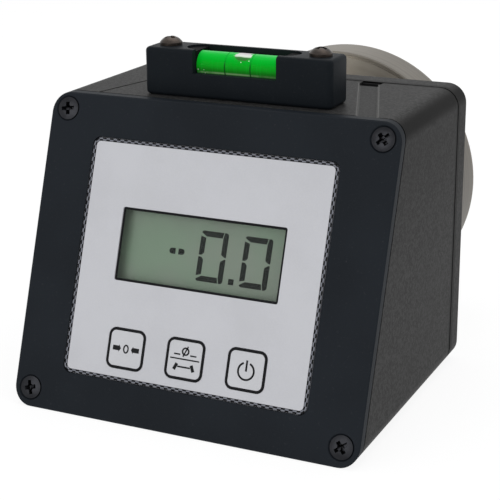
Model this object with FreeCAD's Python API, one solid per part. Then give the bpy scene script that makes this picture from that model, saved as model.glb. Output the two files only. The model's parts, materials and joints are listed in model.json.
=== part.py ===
# Camber and caster gauge: a housing with a leaning panel, a level on top
# and a magnetic hub adapter on its back.
#
# Lengths are in millimetres. X runs to the right as seen from the panel, Y runs from the
# panel to the back and Z points up. The origin is in the middle of the flat bottom.
import FreeCAD, Part
import math
import os

V = FreeCAD.Vector

# Driving dimensions of the housing
WIDTH = 96.0
HEIGHT = 77.5
DEPTH_BOTTOM = 78.0
LEAN = 19.6
CORNER_R = 5.1
WALL = 3.0
COVER_T = 7.5
REAR_GASKET_T = 0.6
GASKET_SET_BACK = 0.5

# Front panel, its label and its screws
PANEL_T = 2.5
PANEL_GASKET_T = 0.5
PANEL_SCREW_INSET = 4.7
PANEL_SCREW_FOOT = 5.0
PANEL_SCREW_TOP = 4.2
PANEL_HEAD_D = 6.2
PANEL_SHANK_D = 3.4
PANEL_SCREW_LENGTH = 6.4
LABEL_W = 67.8
LABEL_H = 60.8
LABEL_U = -0.4
LABEL_R = 2.2
LABEL_T = 0.4
LABEL_RECESS = 0.5
WINDOW_W = 45.5
WINDOW_H = 18.7
WINDOW_V = 45.25

# Keys: a pad in a hole, a flange behind the plate and a stem over a switch
KEY_W = 10.0
KEY_H = 9.8
KEY_R = 1.8
KEY_V = 19.0
KEY_U = {"zero": -17.0, "mode": -0.3, "power": 16.5}
KEY_DEPTH = 0.05
KEY_CHAMFER = 0.2
FLANGE_LIP = 1.6
FLANGE_T = 0.8
LABEL_KEY_GAP = 0.33
PLATE_KEY_GAP = 0.25

# Stack of layers behind the panel, as depths below its front face
PANE_T = 1.5
GLASS_FRONT = 3.2
GLASS_T = 2.8
GLASS_W = 50.8
GLASS_H = 26.0
HOLDER_W = 56.0
HOLDER_H = 31.0
HOLDER_RIB = 2.2
VIEW_W = 47.6
VIEW_H = 20.8
STRIP_W = 46.0
STRIP_H = 2.2
STRIP_OFFSET = 11.6
BOARD_FRONT = 9.5
BOARD_T = 1.6
BOARD_W = 75.0
BOARD_H = 59.0
BOARD_V = 38.5
SWITCH_W = 6.2
SWITCH_FRONT = 6.6
STEM_BACK = 5.6
STEM_R = 2.0
PLUNGER_R = 1.6
PLUNGER_BACK = 7.6
PILLAR_R = 2.9
SMALL_SCREW_R = 1.45
SMALL_HEAD_R = 2.7
SMALL_HEAD_T = 1.8

# Level on top
BLOCK_L = 51.6
BLOCK_D = 11.1
BLOCK_H = 12.2
BLOCK_X = 1.5
BLOCK_Y = -0.25
BLOCK_SCREW_SPAN = 41.5
SLOT_L = 30.8
SLOT_W = 7.2
BLOCK_WINDOW_L = 23.0
BLOCK_WINDOW_SILL = 6.2
VIAL_R = 3.45
VIAL_L = 26.4
VIAL_TOP = 0.9
LIQUID_R = 2.6
LIQUID_L = 24.0
BUBBLE_X = 1.3
PAD_TOP = 0.5
LEVEL_HEAD_R = 2.9
LEVEL_HEAD_FLANK = 0.8
LEVEL_HEAD_DOME = 1.45

# Hub adapter
DISC_R = 39.0
DISC_T = 13.5
AXIS_Z = 39.1
NECK_L = 27.5
NECK_R = 17.0
NECK_BORE_R = 6.5
NECK_FLOOR = 3.0
RELIEF_R = 24.0
RELIEF_DEPTH = 2.5
RIM_GROOVE_R = 38.4
RIM_GROOVE_W = 0.8
RIM_GROOVE_DEPTH = 0.7
MAGNET_COUNT = 6
MAGNET_R = 4.5
MAGNET_T = 6.0
MAGNET_CIRCLE_R = 31.5
PIN_R = 4.0
NOSE_R = 3.5
NOSE_START = 0.3
NOSE_L = 4.2
BUSH_R = 6.0
BUSH_CLEARANCE = 0.05
SPRING_WIRE = 0.9
SPRING_TURNS = 5
SPRING_R = 5.2
SPRING_PLAY = 0.05

# Derived places
Y_FRONT = -DEPTH_BOTTOM / 2
Y_BACK = DEPTH_BOTTOM / 2
Y_SEAM = Y_BACK - COVER_T
LEAN_RAD = math.radians(LEAN)
PANEL_LENGTH = HEIGHT / math.cos(LEAN_RAD)
Y_TOP_FRONT = Y_FRONT + HEIGHT * math.tan(LEAN_RAD)
Y_DISC = Y_BACK + NECK_L
Y_FACE = Y_DISC + DISC_T
PANEL_PLACE = FreeCAD.Placement(V(0, Y_FRONT, 0), FreeCAD.Rotation(V(1, 0, 0), 90 - LEAN))


def on_panel(shape):
    """Carry a shape from panel axes (u right, v up the slope, n outwards) to its place"""
    moved = shape.copy()
    moved.Placement = PANEL_PLACE.multiply(moved.Placement)
    return moved


def box(x0, x1, y0, y1, z0, z1):
    return Part.makeBox(x1 - x0, y1 - y0, z1 - z0, V(x0, y0, z0))


def rod(radius, start, end):
    """Cylinder from one point to another"""
    way = V(*end) - V(*start)
    return Part.makeCylinder(radius, way.Length, V(*start), way)


def rounded_face(u0, u1, v0, v1, radius):
    """Flat rectangle with rounded corners in the XY plane"""
    k = radius * (1 - math.sqrt(0.5))
    corners = [
        (u1 - radius, v0, u1 - k, v0 + k, u1, v0 + radius),
        (u1, v1 - radius, u1 - k, v1 - k, u1 - radius, v1),
        (u0 + radius, v1, u0 + k, v1 - k, u0, v1 - radius),
        (u0, v0 + radius, u0 + k, v0 + k, u0 + radius, v0),
    ]
    edges = []
    for here, after in zip(corners, corners[1:] + corners[:1]):
        start = V(here[0], here[1], 0)
        middle = V(here[2], here[3], 0)
        end = V(here[4], here[5], 0)
        edges.append(Part.Arc(start, middle, end).toShape())
        edges.append(Part.LineSegment(end, V(after[0], after[1], 0)).toShape())
    return Part.Face(Part.Wire(edges))


def pad(centre_u, centre_v, width, height, radius, top, thickness):
    """Plate in panel axes whose top face is at n = top, with rounded corners or square ones"""
    u0 = centre_u - width / 2
    v0 = centre_v - height / 2
    if radius == 0:
        return Part.makeBox(width, height, thickness, V(u0, v0, top - thickness))
    face = rounded_face(u0, u0 + width, v0, v0 + height, radius)
    face.translate(V(0, 0, top - thickness))
    return face.extrude(V(0, 0, thickness))


def outer_prism(y0, y1, inset=0.0, radius=None):
    """The housing's outline pushed along Y"""
    corner = max(CORNER_R - inset, 0.5) if radius is None else radius
    face = rounded_face(-WIDTH / 2 + inset, WIDTH / 2 - inset, inset, HEIGHT - inset, corner)
    face.rotate(V(0, 0, 0), V(1, 0, 0), 90)
    face.translate(V(0, y0, 0))
    return face.extrude(V(0, y1 - y0, 0))


def panel_slab(front, back):
    """Wide block between two planes parallel to the panel, as depths below its face"""
    return on_panel(Part.makeBox(200, 200, back - front, V(-100, -60, -back)))


def turned(profile, y0=0.0, z0=AXIS_Z):
    """Solid of revolution about a Y axis at height z0, from (radius, y) points"""
    points = [V(r, y + y0, 0) for r, y in profile]
    wire = Part.makePolygon(points + points[:1])
    solid = Part.Face(wire).revolve(V(0, 0, 0), V(0, 1, 0), 360)
    solid.translate(V(0, 0, z0))
    return solid


def hexagon(radius, x, y, z):
    """Flat hexagon in the XY plane"""
    ring = [V(x + radius * math.cos(math.radians(60 * k)), y + radius * math.sin(math.radians(60 * k)), z)
            for k in range(6)]
    return Part.Face(Part.makePolygon(ring + ring[:1]))


def fuse_all(shapes):
    result = shapes[0]
    if len(shapes) > 1:
        result = result.multiFuse(shapes[1:])
    return result.removeSplitter()


def group(shapes):
    return Part.makeCompound(shapes)


def cross_recess(head_radius, depth, centre, direction):
    """Cross-shaped driver recess that narrows towards its floor"""
    arm = head_radius * 0.62
    thick = head_radius * 0.2
    foot_arm = arm * 0.4
    foot_thick = thick * 0.6
    blades = []
    for turn in (0, 90):
        blade = Part.makeWedge(-foot_arm, 0, -foot_thick, -thick, -arm,
                               foot_arm, depth, foot_thick, thick, arm)
        blade.rotate(V(0, 0, 0), V(1, 0, 0), 90)
        blade.translate(V(0, 0, -depth))
        blade.rotate(V(0, 0, 0), V(0, 0, 1), turn)
        blades.append(blade)
    cross = fuse_all(blades)
    cross.Placement = FreeCAD.Placement(V(*centre), FreeCAD.Rotation(V(0, 0, 1), V(*direction)))
    return cross


def edges_where(shape, test):
    """Edges whose every vertex passes a test"""
    return [edge for edge in shape.Edges if all(test(vertex.Point) for vertex in edge.Vertexes)]


# Screw places on the leaning panel, as (u, v)
SCREW_U = WIDTH / 2 - PANEL_SCREW_INSET
PANEL_SCREWS = [(side * SCREW_U, v) for side in (-1, 1)
                for v in (PANEL_SCREW_FOOT, PANEL_LENGTH - PANEL_SCREW_TOP)]
COVER_SCREW_INSET = 6.0
COVER_SCREWS = [(side * (WIDTH / 2 - COVER_SCREW_INSET), z) for side in (-1, 1)
                for z in (COVER_SCREW_INSET, HEIGHT - COVER_SCREW_INSET)]
BLOCK_SCREWS = [BLOCK_X - BLOCK_SCREW_SPAN / 2, BLOCK_X + BLOCK_SCREW_SPAN / 2]
COVER_SCREW_D = 3.4
COVER_HEAD_R = 3.1
COVER_HEAD_T = 2.2
COVER_SINK = 2.5
COVER_CHAMFER = 0.9
BLOCK_SCREW_D = 3.4
NECK_SCREW_CIRCLE_R = 12.0
NECK_SCREW_COUNT = 3
COVER_SIDE_ANGLE = 30
DISC_SIDE_ANGLE = 90
NECK_SCREW_D = 4.0
CAP_HEAD_R = 3.5
CAP_HEAD_T = 4.0
CAP_SINK = 4.4
CAP_SOCKET_R = 1.75
SCREW_CLEARANCE = 0.3


def spots(count, circle_r, first_angle):
    """Points (x, z) evenly spaced on a circle about the adapter's axis"""
    angles = [math.radians(first_angle + 360.0 * k / count) for k in range(count)]
    return [(circle_r * math.cos(a), AXIS_Z + circle_r * math.sin(a)) for a in angles]


# Housing

def corner_posts():
    """Four posts along Y that carry the screws at both ends"""
    posts = []
    size = 9.6
    for side in (-1, 1):
        for low in (True, False):
            x0 = WIDTH / 2 - WALL - size + 2.4 if side > 0 else -WIDTH / 2 + WALL - 2.4
            z0 = WALL - 2.4 if low else HEIGHT - WALL - size + 2.4
            posts.append(box(x0, x0 + size, Y_FRONT - 5, Y_SEAM, z0, z0 + size))
    return posts


def top_groove():
    """Shallow slanting channel on the top right, with the notch that ends it"""
    depth = 0.6
    front_y = Y_TOP_FRONT - 4
    back_y = Y_SEAM - 3.3
    slope = math.tan(math.radians(20.0))
    right_at_back = 26.9
    width = 5.3

    def corner(x_back, y):
        return x_back + (back_y - y) * slope
    points = [V(corner(right_at_back - width, front_y), front_y, HEIGHT - depth),
              V(corner(right_at_back, front_y), front_y, HEIGHT - depth),
              V(right_at_back, back_y, HEIGHT - depth),
              V(right_at_back - width, back_y, HEIGHT - depth)]
    channel = Part.Face(Part.makePolygon(points + points[:1])).extrude(V(0, 0, 2))
    notch = box(right_at_back - width, right_at_back + 0.5, back_y, Y_SEAM, HEIGHT - 1.6, HEIGHT + 1)
    return channel.fuse(notch)


def top_line():
    """Fine slanting line on the top left"""
    half = 0.3
    depth = 0.5
    front = V(-37.9, Y_TOP_FRONT - 4, HEIGHT - depth)
    back = V(-29.2, Y_SEAM - 8.5, HEIGHT - depth)
    side = V(half, 0, 0)
    points = [front - side, front + side, back + side, back - side]
    return Part.Face(Part.makePolygon(points + points[:1])).extrude(V(0, 0, 2))


def make_housing():
    back = Y_SEAM - REAR_GASKET_T
    body = outer_prism(Y_FRONT - 5, back)
    room = outer_prism(Y_FRONT - 6, back + 1, WALL, 2.2)
    room = room.cut(fuse_all(corner_posts()))
    body = body.cut(room)
    body = body.cut(panel_slab(-80, PANEL_T + PANEL_GASKET_T))
    holes = []
    for u, v in PANEL_SCREWS:
        holes.append(on_panel(rod(PANEL_SHANK_D / 2, (u, v, 1), (u, v, -PANEL_SCREW_LENGTH - 0.3))))
    for x, z in COVER_SCREWS:
        holes.append(rod(COVER_SCREW_D / 2, (x, Y_SEAM - 13, z), (x, Y_BACK, z)))
    for x in BLOCK_SCREWS:
        holes.append(rod(BLOCK_SCREW_D / 2, (x, BLOCK_Y, HEIGHT - 8), (x, BLOCK_Y, HEIGHT + 2)))
    return body.cut(fuse_all(holes)).cut(top_groove()).cut(top_line())


def make_front_panel():
    plate = outer_prism(Y_FRONT - 5, Y_BACK)
    plate = plate.common(panel_slab(0, PANEL_T))
    normal = PANEL_PLACE.Rotation.multVec(V(0, 0, 1))
    base = PANEL_PLACE.Base
    rim = edges_where(plate, lambda p: abs((p - base).dot(normal)) < 0.001)
    plate = plate.makeChamfer(0.3, rim)
    cuts = [pad(LABEL_U, PANEL_LENGTH / 2, LABEL_W + 0.3, LABEL_H + 0.3, LABEL_R, 1, 1 + LABEL_RECESS)]
    cuts.append(pad(LABEL_U, WINDOW_V, WINDOW_W + 2, WINDOW_H + 2, 0, 1, 5))
    for u in KEY_U.values():
        cuts.append(pad(u, KEY_V, KEY_W + 2 * PLATE_KEY_GAP, KEY_H + 2 * PLATE_KEY_GAP, KEY_R + 0.2, 1, 5))
    for u, v in PANEL_SCREWS:
        head = PANEL_HEAD_D / 2 + 0.25
        shank = PANEL_SHANK_D / 2 + SCREW_CLEARANCE
        cuts.append(Part.makeCone(shank, head, head - shank, V(u, v, -0.15 - (head - shank))))
        cuts.append(rod(head, (u, v, -0.15), (u, v, 1)))
        cuts.append(rod(shank, (u, v, -5), (u, v, 0)))
    return plate.cut(on_panel(fuse_all(cuts)))


def make_panel_gasket():
    ring = outer_prism(Y_FRONT - 5, Y_BACK, GASKET_SET_BACK)
    ring = ring.common(panel_slab(PANEL_T, PANEL_T + PANEL_GASKET_T))
    hole = outer_prism(Y_FRONT - 9, Y_BACK + 1, WALL, 2.2).cut(fuse_all(corner_posts()))
    ring = ring.cut(hole)
    radius = PANEL_SHANK_D / 2 + SCREW_CLEARANCE
    shanks = [on_panel(rod(radius, (u, v, -9), (u, v, 1))) for u, v in PANEL_SCREWS]
    return ring.cut(fuse_all(shanks))


def make_panel_screws():
    """Countersunk screws with cross recesses"""
    screws = []
    head = PANEL_HEAD_D / 2
    shank = PANEL_SHANK_D / 2
    for u, v in PANEL_SCREWS:
        top = -0.1
        cone = Part.makeCone(shank, head, head - shank, V(u, v, top - (head - shank)))
        stem = rod(shank, (u, v, -PANEL_SCREW_LENGTH), (u, v, top - (head - shank)))
        screw = fuse_all([cone, stem]).cut(cross_recess(head, 1.5, (u, v, top), (0, 0, 1)))
        screws.append(on_panel(screw))
    return group(screws)


# Label, window and keys

def make_overlay():
    sheet = pad(LABEL_U, PANEL_LENGTH / 2, LABEL_W, LABEL_H, LABEL_R, LABEL_T - LABEL_RECESS, LABEL_T)
    cuts = [pad(LABEL_U, WINDOW_V, WINDOW_W, WINDOW_H, 0.6, 1, 3)]
    for u in KEY_U.values():
        cuts.append(pad(u, KEY_V, KEY_W + 2 * LABEL_KEY_GAP, KEY_H + 2 * LABEL_KEY_GAP, KEY_R + 0.3, 1, 3))
    return on_panel(sheet.cut(fuse_all(cuts)))


def make_display_window():
    lip = 0.8
    return on_panel(pad(LABEL_U, WINDOW_V, WINDOW_W + 2 * lip, WINDOW_H + 2 * lip, 0, -LABEL_RECESS, PANE_T))


def make_key(u):
    """Pad with a broken edge, flange and stem in one moulding"""
    cap_depth = PANEL_T + 0.1
    cap = pad(u, KEY_V, KEY_W, KEY_H, KEY_R, -KEY_DEPTH, cap_depth)
    rim = edges_where(cap, lambda p: abs(p.z + KEY_DEPTH) < 0.001)
    cap = cap.makeChamfer(KEY_CHAMFER, rim)
    flange_top = -KEY_DEPTH - cap_depth
    flange = pad(u, KEY_V, KEY_W + 2 * FLANGE_LIP, KEY_H + 2 * FLANGE_LIP, KEY_R + 1, flange_top, FLANGE_T)
    stem = rod(STEM_R, (u, KEY_V, flange_top - FLANGE_T), (u, KEY_V, -STEM_BACK))
    return on_panel(fuse_all([cap, flange, stem]))


def make_plunger(u):
    return on_panel(rod(PLUNGER_R, (u, KEY_V, -STEM_BACK), (u, KEY_V, -PLUNGER_BACK)))


def make_key_switches():
    """Three square switches on the board, each with a well for its plunger"""
    switches = []
    for u in KEY_U.values():
        case = pad(u, KEY_V, SWITCH_W, SWITCH_W, 0, -SWITCH_FRONT, BOARD_FRONT - SWITCH_FRONT)
        well = rod(PLUNGER_R + 0.1, (u, KEY_V, -PLUNGER_BACK - 0.8), (u, KEY_V, -SWITCH_FRONT + 1))
        switches.append(on_panel(case.cut(well)))
    return group(switches)


# Display and board

def make_lcd_glass():
    return on_panel(pad(LABEL_U, WINDOW_V, GLASS_W, GLASS_H, 0, -GLASS_FRONT, GLASS_T))


def make_lcd_holder():
    """Open frame that carries the glass and the two contact strips"""
    front = PANEL_T + 0.1
    seat_gap = 0.3
    frame = pad(LABEL_U, WINDOW_V, HOLDER_W, HOLDER_H, 0, -front, BOARD_FRONT - front)
    view = pad(LABEL_U, WINDOW_V, VIEW_W, VIEW_H, 0, 0, 20)
    seat = pad(LABEL_U, WINDOW_V, GLASS_W + seat_gap, GLASS_H + seat_gap, 0, -GLASS_FRONT, 20)
    rib_v = (HOLDER_H - HOLDER_RIB) / 2
    ribs = [pad(LABEL_U, WINDOW_V + side * rib_v, HOLDER_W, HOLDER_RIB, 0, -BOARD_FRONT + 1.6, 1.6)
            for side in (-1, 1)]
    return on_panel(fuse_all([frame.cut(view).cut(seat)] + ribs))


def make_contact_strips():
    front = GLASS_FRONT + GLASS_T
    strips = [pad(LABEL_U, WINDOW_V + side * STRIP_OFFSET, STRIP_W, STRIP_H, 0, -front, BOARD_FRONT - front)
              for side in (-1, 1)]
    return group([on_panel(strip) for strip in strips])


STANDOFFS = [(u, v) for u in (-33.5, 33.5) for v in (13.0, 64.0)]


def make_main_board():
    board = pad(0, BOARD_V, BOARD_W, BOARD_H, 0, -BOARD_FRONT, BOARD_T)
    holes = [rod(SMALL_SCREW_R + 0.25, (u, v, -20), (u, v, 0)) for u, v in STANDOFFS]
    return on_panel(board.cut(fuse_all(holes)))


def make_board_standoffs():
    """Hexagonal pillars between the plate and the board"""
    pillars = []
    for u, v in STANDOFFS:
        pillar = hexagon(PILLAR_R, u, v, -BOARD_FRONT).extrude(V(0, 0, BOARD_FRONT - PANEL_T))
        pillar = pillar.cut(rod(SMALL_SCREW_R + 0.05, (u, v, -BOARD_FRONT - 1), (u, v, -BOARD_FRONT + 5)))
        pillars.append(on_panel(pillar))
    return group(pillars)


def make_board_screws():
    screws = []
    back = -BOARD_FRONT - BOARD_T
    for u, v in STANDOFFS:
        head = rod(SMALL_HEAD_R, (u, v, back - SMALL_HEAD_T), (u, v, back))
        stem = rod(SMALL_SCREW_R, (u, v, back), (u, v, -BOARD_FRONT + 4))
        screws.append(on_panel(fuse_all([head, stem])))
    return group(screws)


# Inside the housing

SENSOR_SPOTS = (-14.0, 14.0)
SENSOR_Z = 63.5
SENSOR_BOARD_Y = 24.0
SENSOR_BOARD_W = 36.0
SENSOR_BOARD_H = 16.0
SENSOR_CAN_W = 16.0
SENSOR_CAN_H = 12.0
SENSOR_CAN_T = 5.0
SPACER_R = 2.6
COVER_FLOOR_Y = Y_SEAM + 4.0


def make_sensor_board():
    board = box(-SENSOR_BOARD_W / 2, SENSOR_BOARD_W / 2, SENSOR_BOARD_Y - BOARD_T, SENSOR_BOARD_Y,
                SENSOR_Z - SENSOR_BOARD_H / 2, SENSOR_Z + SENSOR_BOARD_H / 2)
    holes = [rod(SMALL_SCREW_R + 0.25, (x, SENSOR_BOARD_Y - 4, SENSOR_Z), (x, SENSOR_BOARD_Y + 1, SENSOR_Z))
             for x in SENSOR_SPOTS]
    return board.cut(fuse_all(holes))


def make_tilt_sensor():
    """Square can with a round lid, soldered to its board"""
    back = SENSOR_BOARD_Y - BOARD_T
    front = back - SENSOR_CAN_T
    case = box(-SENSOR_CAN_W / 2, SENSOR_CAN_W / 2, front, back,
               SENSOR_Z - SENSOR_CAN_H / 2, SENSOR_Z + SENSOR_CAN_H / 2)
    lid = rod(4.5, (0, front - 1, SENSOR_Z), (0, front, SENSOR_Z))
    return fuse_all([case, lid])


def make_sensor_spacers():
    spacers = []
    for x in SENSOR_SPOTS:
        tube = rod(SPACER_R, (x, SENSOR_BOARD_Y, SENSOR_Z), (x, COVER_FLOOR_Y, SENSOR_Z))
        bore = rod(SMALL_SCREW_R + 0.15, (x, SENSOR_BOARD_Y - 1, SENSOR_Z), (x, COVER_FLOOR_Y + 1, SENSOR_Z))
        spacers.append(tube.cut(bore))
    return group(spacers)


def make_sensor_screws():
    screws = []
    front = SENSOR_BOARD_Y - BOARD_T
    for x in SENSOR_SPOTS:
        head = rod(SMALL_HEAD_R, (x, front - SMALL_HEAD_T, SENSOR_Z), (x, front, SENSOR_Z))
        stem = rod(SMALL_SCREW_R, (x, front, SENSOR_Z), (x, COVER_FLOOR_Y + 1.8, SENSOR_Z))
        screws.append(fuse_all([head, stem]))
    return group(screws)


BATTERY_X = -30.0
BATTERY_Y = 12.0
BATTERY_L = 46.4
BATTERY_W = 26.2
BATTERY_H = 17.2
TERMINAL_SPAN = 12.7
TERMINAL_L = 2.0
TERMINALS = [(BATTERY_Y - TERMINAL_SPAN / 2, 2.9), (BATTERY_Y + TERMINAL_SPAN / 2, 3.6)]
CLIP_T = 0.9
CLIP_H = 13.0
CLIP_X = (-18.0, 4.0)


def make_battery():
    """Nine volt block with its two terminals on the right end"""
    z0 = WALL + CLIP_T
    x1 = BATTERY_X + BATTERY_L
    case = box(BATTERY_X, x1, BATTERY_Y - BATTERY_W / 2, BATTERY_Y + BATTERY_W / 2, z0, z0 + BATTERY_H)
    long_edges = [e for e in case.Edges if abs(e.Vertexes[0].Point.x - e.Vertexes[1].Point.x) > 1]
    case = case.makeFillet(2.0, long_edges)
    middle = z0 + BATTERY_H / 2
    studs = [rod(radius, (x1, y, middle), (x1 + TERMINAL_L, y, middle)) for y, radius in TERMINALS]
    return fuse_all([case] + studs)


def make_battery_clip():
    """Sheet metal cradle under and beside the battery"""
    half = BATTERY_W / 2 + 0.1
    x0, x1 = CLIP_X
    top = WALL + CLIP_H
    base = box(x0, x1, BATTERY_Y - half - CLIP_T, BATTERY_Y + half + CLIP_T, WALL, WALL + CLIP_T)
    front = box(x0, x1, BATTERY_Y - half - CLIP_T, BATTERY_Y - half, WALL, top)
    back = box(x0, x1, BATTERY_Y + half, BATTERY_Y + half + CLIP_T, WALL, top)
    return fuse_all([base, front, back])


def make_battery_connector():
    """Snap plate with sockets over the two terminals"""
    gap = 0.2
    margin = 1.2
    x0 = BATTERY_X + BATTERY_L + gap
    z0 = WALL + CLIP_T + margin
    z1 = WALL + CLIP_T + BATTERY_H - margin
    plate = box(x0, x0 + 4.2, BATTERY_Y - 12.5, BATTERY_Y + 12.5, z0, z1)
    middle = (z0 + z1) / 2
    sockets = [rod(radius + 0.05, (x0 - 1, y, middle), (x0 + TERMINAL_L + 0.1, y, middle))
               for y, radius in TERMINALS]
    return plate.cut(fuse_all(sockets))


# Back of the housing

def make_rear_gasket():
    ring = outer_prism(Y_SEAM - REAR_GASKET_T, Y_SEAM, GASKET_SET_BACK)
    hole = outer_prism(Y_FRONT - 9, Y_BACK, WALL, 2.2).cut(fuse_all(corner_posts()))
    holes = [rod(COVER_SCREW_D / 2 + SCREW_CLEARANCE, (x, Y_SEAM - 3, z), (x, Y_BACK, z))
             for x, z in COVER_SCREWS]
    return ring.cut(hole).cut(fuse_all(holes))


def make_rear_cover():
    cover = outer_prism(Y_SEAM, Y_BACK)
    rim = edges_where(cover, lambda p: abs(p.y - Y_BACK) < 0.001)
    cover = cover.makeChamfer(COVER_CHAMFER, rim)
    pocket = outer_prism(Y_SEAM - 1, COVER_FLOOR_Y, WALL + 0.4, 2.0)
    pocket = pocket.cut(fuse_all([post.fuse(post.translated(V(0, 10, 0))) for post in corner_posts()]))
    cover = cover.cut(pocket)
    cuts = []
    for x, z in COVER_SCREWS:
        cuts.append(rod(COVER_SCREW_D / 2 + SCREW_CLEARANCE, (x, Y_SEAM - 1, z), (x, Y_BACK + 1, z)))
        cuts.append(rod(COVER_HEAD_R + 0.3, (x, Y_BACK - COVER_SINK, z), (x, Y_BACK + 1, z)))
    for x, z in spots(NECK_SCREW_COUNT, NECK_SCREW_CIRCLE_R, COVER_SIDE_ANGLE):
        cuts.append(rod(NECK_SCREW_D / 2 + SCREW_CLEARANCE, (x, Y_SEAM - 1, z), (x, Y_BACK + 1, z)))
    for x in SENSOR_SPOTS:
        cuts.append(rod(SMALL_SCREW_R, (x, Y_SEAM - 1, SENSOR_Z), (x, COVER_FLOOR_Y + 2, SENSOR_Z)))
    return cover.cut(fuse_all(cuts))


def make_rear_cover_screws():
    screws = []
    for x, z in COVER_SCREWS:
        seat = Y_BACK - COVER_SINK
        top = seat + COVER_HEAD_T
        head = rod(COVER_HEAD_R, (x, seat, z), (x, top, z))
        stem = rod(COVER_SCREW_D / 2, (x, Y_SEAM - 12, z), (x, seat, z))
        screw = fuse_all([head, stem])
        screws.append(screw.cut(cross_recess(COVER_HEAD_R, 1.4, (x, top, z), (0, 1, 0))))
    return group(screws)


# Level

def make_level_block():
    """Bar with a long slot on top and a window in its front"""
    z0 = HEIGHT
    z1 = HEIGHT + BLOCK_H
    y0 = BLOCK_Y - BLOCK_D / 2
    y1 = BLOCK_Y + BLOCK_D / 2
    bar = box(BLOCK_X - BLOCK_L / 2, BLOCK_X + BLOCK_L / 2, y0, y1, z0, z1)
    upright = [e for e in bar.Edges if abs(e.Vertexes[0].Point.z - e.Vertexes[1].Point.z) > 1]
    bar = bar.makeFillet(1.3, upright)
    rim = edges_where(bar, lambda p: abs(p.z - z1) < 0.001)
    bar = bar.makeFillet(0.7, rim)
    slot = rounded_face(BLOCK_X - SLOT_L / 2, BLOCK_X + SLOT_L / 2,
                        BLOCK_Y - SLOT_W / 2, BLOCK_Y + SLOT_W / 2, SLOT_W / 2 - 0.01)
    slot.translate(V(0, 0, z0 + 4.0))
    slot = slot.extrude(V(0, 0, BLOCK_H))
    half = BLOCK_WINDOW_L / 2
    window = box(BLOCK_X - half, BLOCK_X + half, y0 - 1, BLOCK_Y, z0 + BLOCK_WINDOW_SILL, z1 + 1)
    holes = [rod(BLOCK_SCREW_D / 2 + SCREW_CLEARANCE, (x, BLOCK_Y, z0 - 1), (x, BLOCK_Y, z1 + 1))
             for x in BLOCK_SCREWS]
    return bar.cut(fuse_all([slot, window] + holes))


VIAL_Z = HEIGHT + BLOCK_H - VIAL_TOP - VIAL_R


def make_level_vial():
    """Sealed clear barrel with broken ends and a round chamber inside"""
    x0 = BLOCK_X - VIAL_L / 2
    x1 = BLOCK_X + VIAL_L / 2
    barrel = rod(VIAL_R, (x0, BLOCK_Y, VIAL_Z), (x1, BLOCK_Y, VIAL_Z))
    rims = [e for e in barrel.Edges if e.Curve.TypeId == "Part::GeomCircle"]
    barrel = barrel.makeChamfer(0.5, rims)
    return barrel.cut(liquid_rod())


def liquid_rod():
    half = LIQUID_L / 2
    return rod(LIQUID_R, (BLOCK_X - half, BLOCK_Y, VIAL_Z), (BLOCK_X + half, BLOCK_Y, VIAL_Z))


def make_vial_liquid():
    """The filling, with the space of its bubble left out at the top"""
    bubble = Part.makeSphere(2.8, V(0, 0, 0))
    stretch = FreeCAD.Matrix()
    stretch.scale(1.0, 0.72, 0.55)
    bubble = bubble.transformGeometry(stretch)
    bubble.translate(V(BUBBLE_X, BLOCK_Y, VIAL_Z + LIQUID_R - 0.5))
    return liquid_rod().cut(bubble)


def make_vial_end_pads():
    """Two pads that bed the barrel's ends in the slot"""
    pads = []
    slot = rounded_face(BLOCK_X - SLOT_L / 2 + 0.1, BLOCK_X + SLOT_L / 2 - 0.1,
                        BLOCK_Y - SLOT_W / 2 + 0.1, BLOCK_Y + SLOT_W / 2 - 0.1, SLOT_W / 2 - 0.12)
    slot.translate(V(0, 0, HEIGHT + 4.0))
    filling = slot.extrude(V(0, 0, BLOCK_H - 4.0 - PAD_TOP))
    keep_out = BLOCK_X - BLOCK_WINDOW_L / 2 - 0.3
    reach = VIAL_L / 2 + 0.02
    barrel = rod(VIAL_R + 0.02, (BLOCK_X - reach, BLOCK_Y, VIAL_Z), (BLOCK_X + reach, BLOCK_Y, VIAL_Z))
    left = filling.common(box(-60, keep_out, -20, 20, 0, 200)).cut(barrel)
    right = filling.common(box(2 * BLOCK_X - keep_out, 60, -20, 20, 0, 200)).cut(barrel)
    for piece in (left, right):
        pads.extend(piece.Solids)
    return group(pads)


def make_level_screws():
    """Pan head screws whose heads are domed"""
    screws = []
    seat = HEIGHT + BLOCK_H
    dome = LEVEL_HEAD_DOME
    ball_r = (LEVEL_HEAD_R ** 2 + dome ** 2) / (2 * dome)
    top = seat + LEVEL_HEAD_FLANK + dome
    for x in BLOCK_SCREWS:
        ball = Part.makeSphere(ball_r, V(x, BLOCK_Y, top - ball_r))
        head = rod(LEVEL_HEAD_R, (x, BLOCK_Y, seat), (x, BLOCK_Y, top)).common(ball)
        stem = rod(BLOCK_SCREW_D / 2, (x, BLOCK_Y, HEIGHT - 4.6), (x, BLOCK_Y, seat))
        screw = fuse_all([head, stem])
        screws.append(screw.cut(cross_recess(LEVEL_HEAD_R * 0.9, 1.5, (x, BLOCK_Y, top), (0, 0, 1))))
    return group(screws)


# Hub adapter

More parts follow.
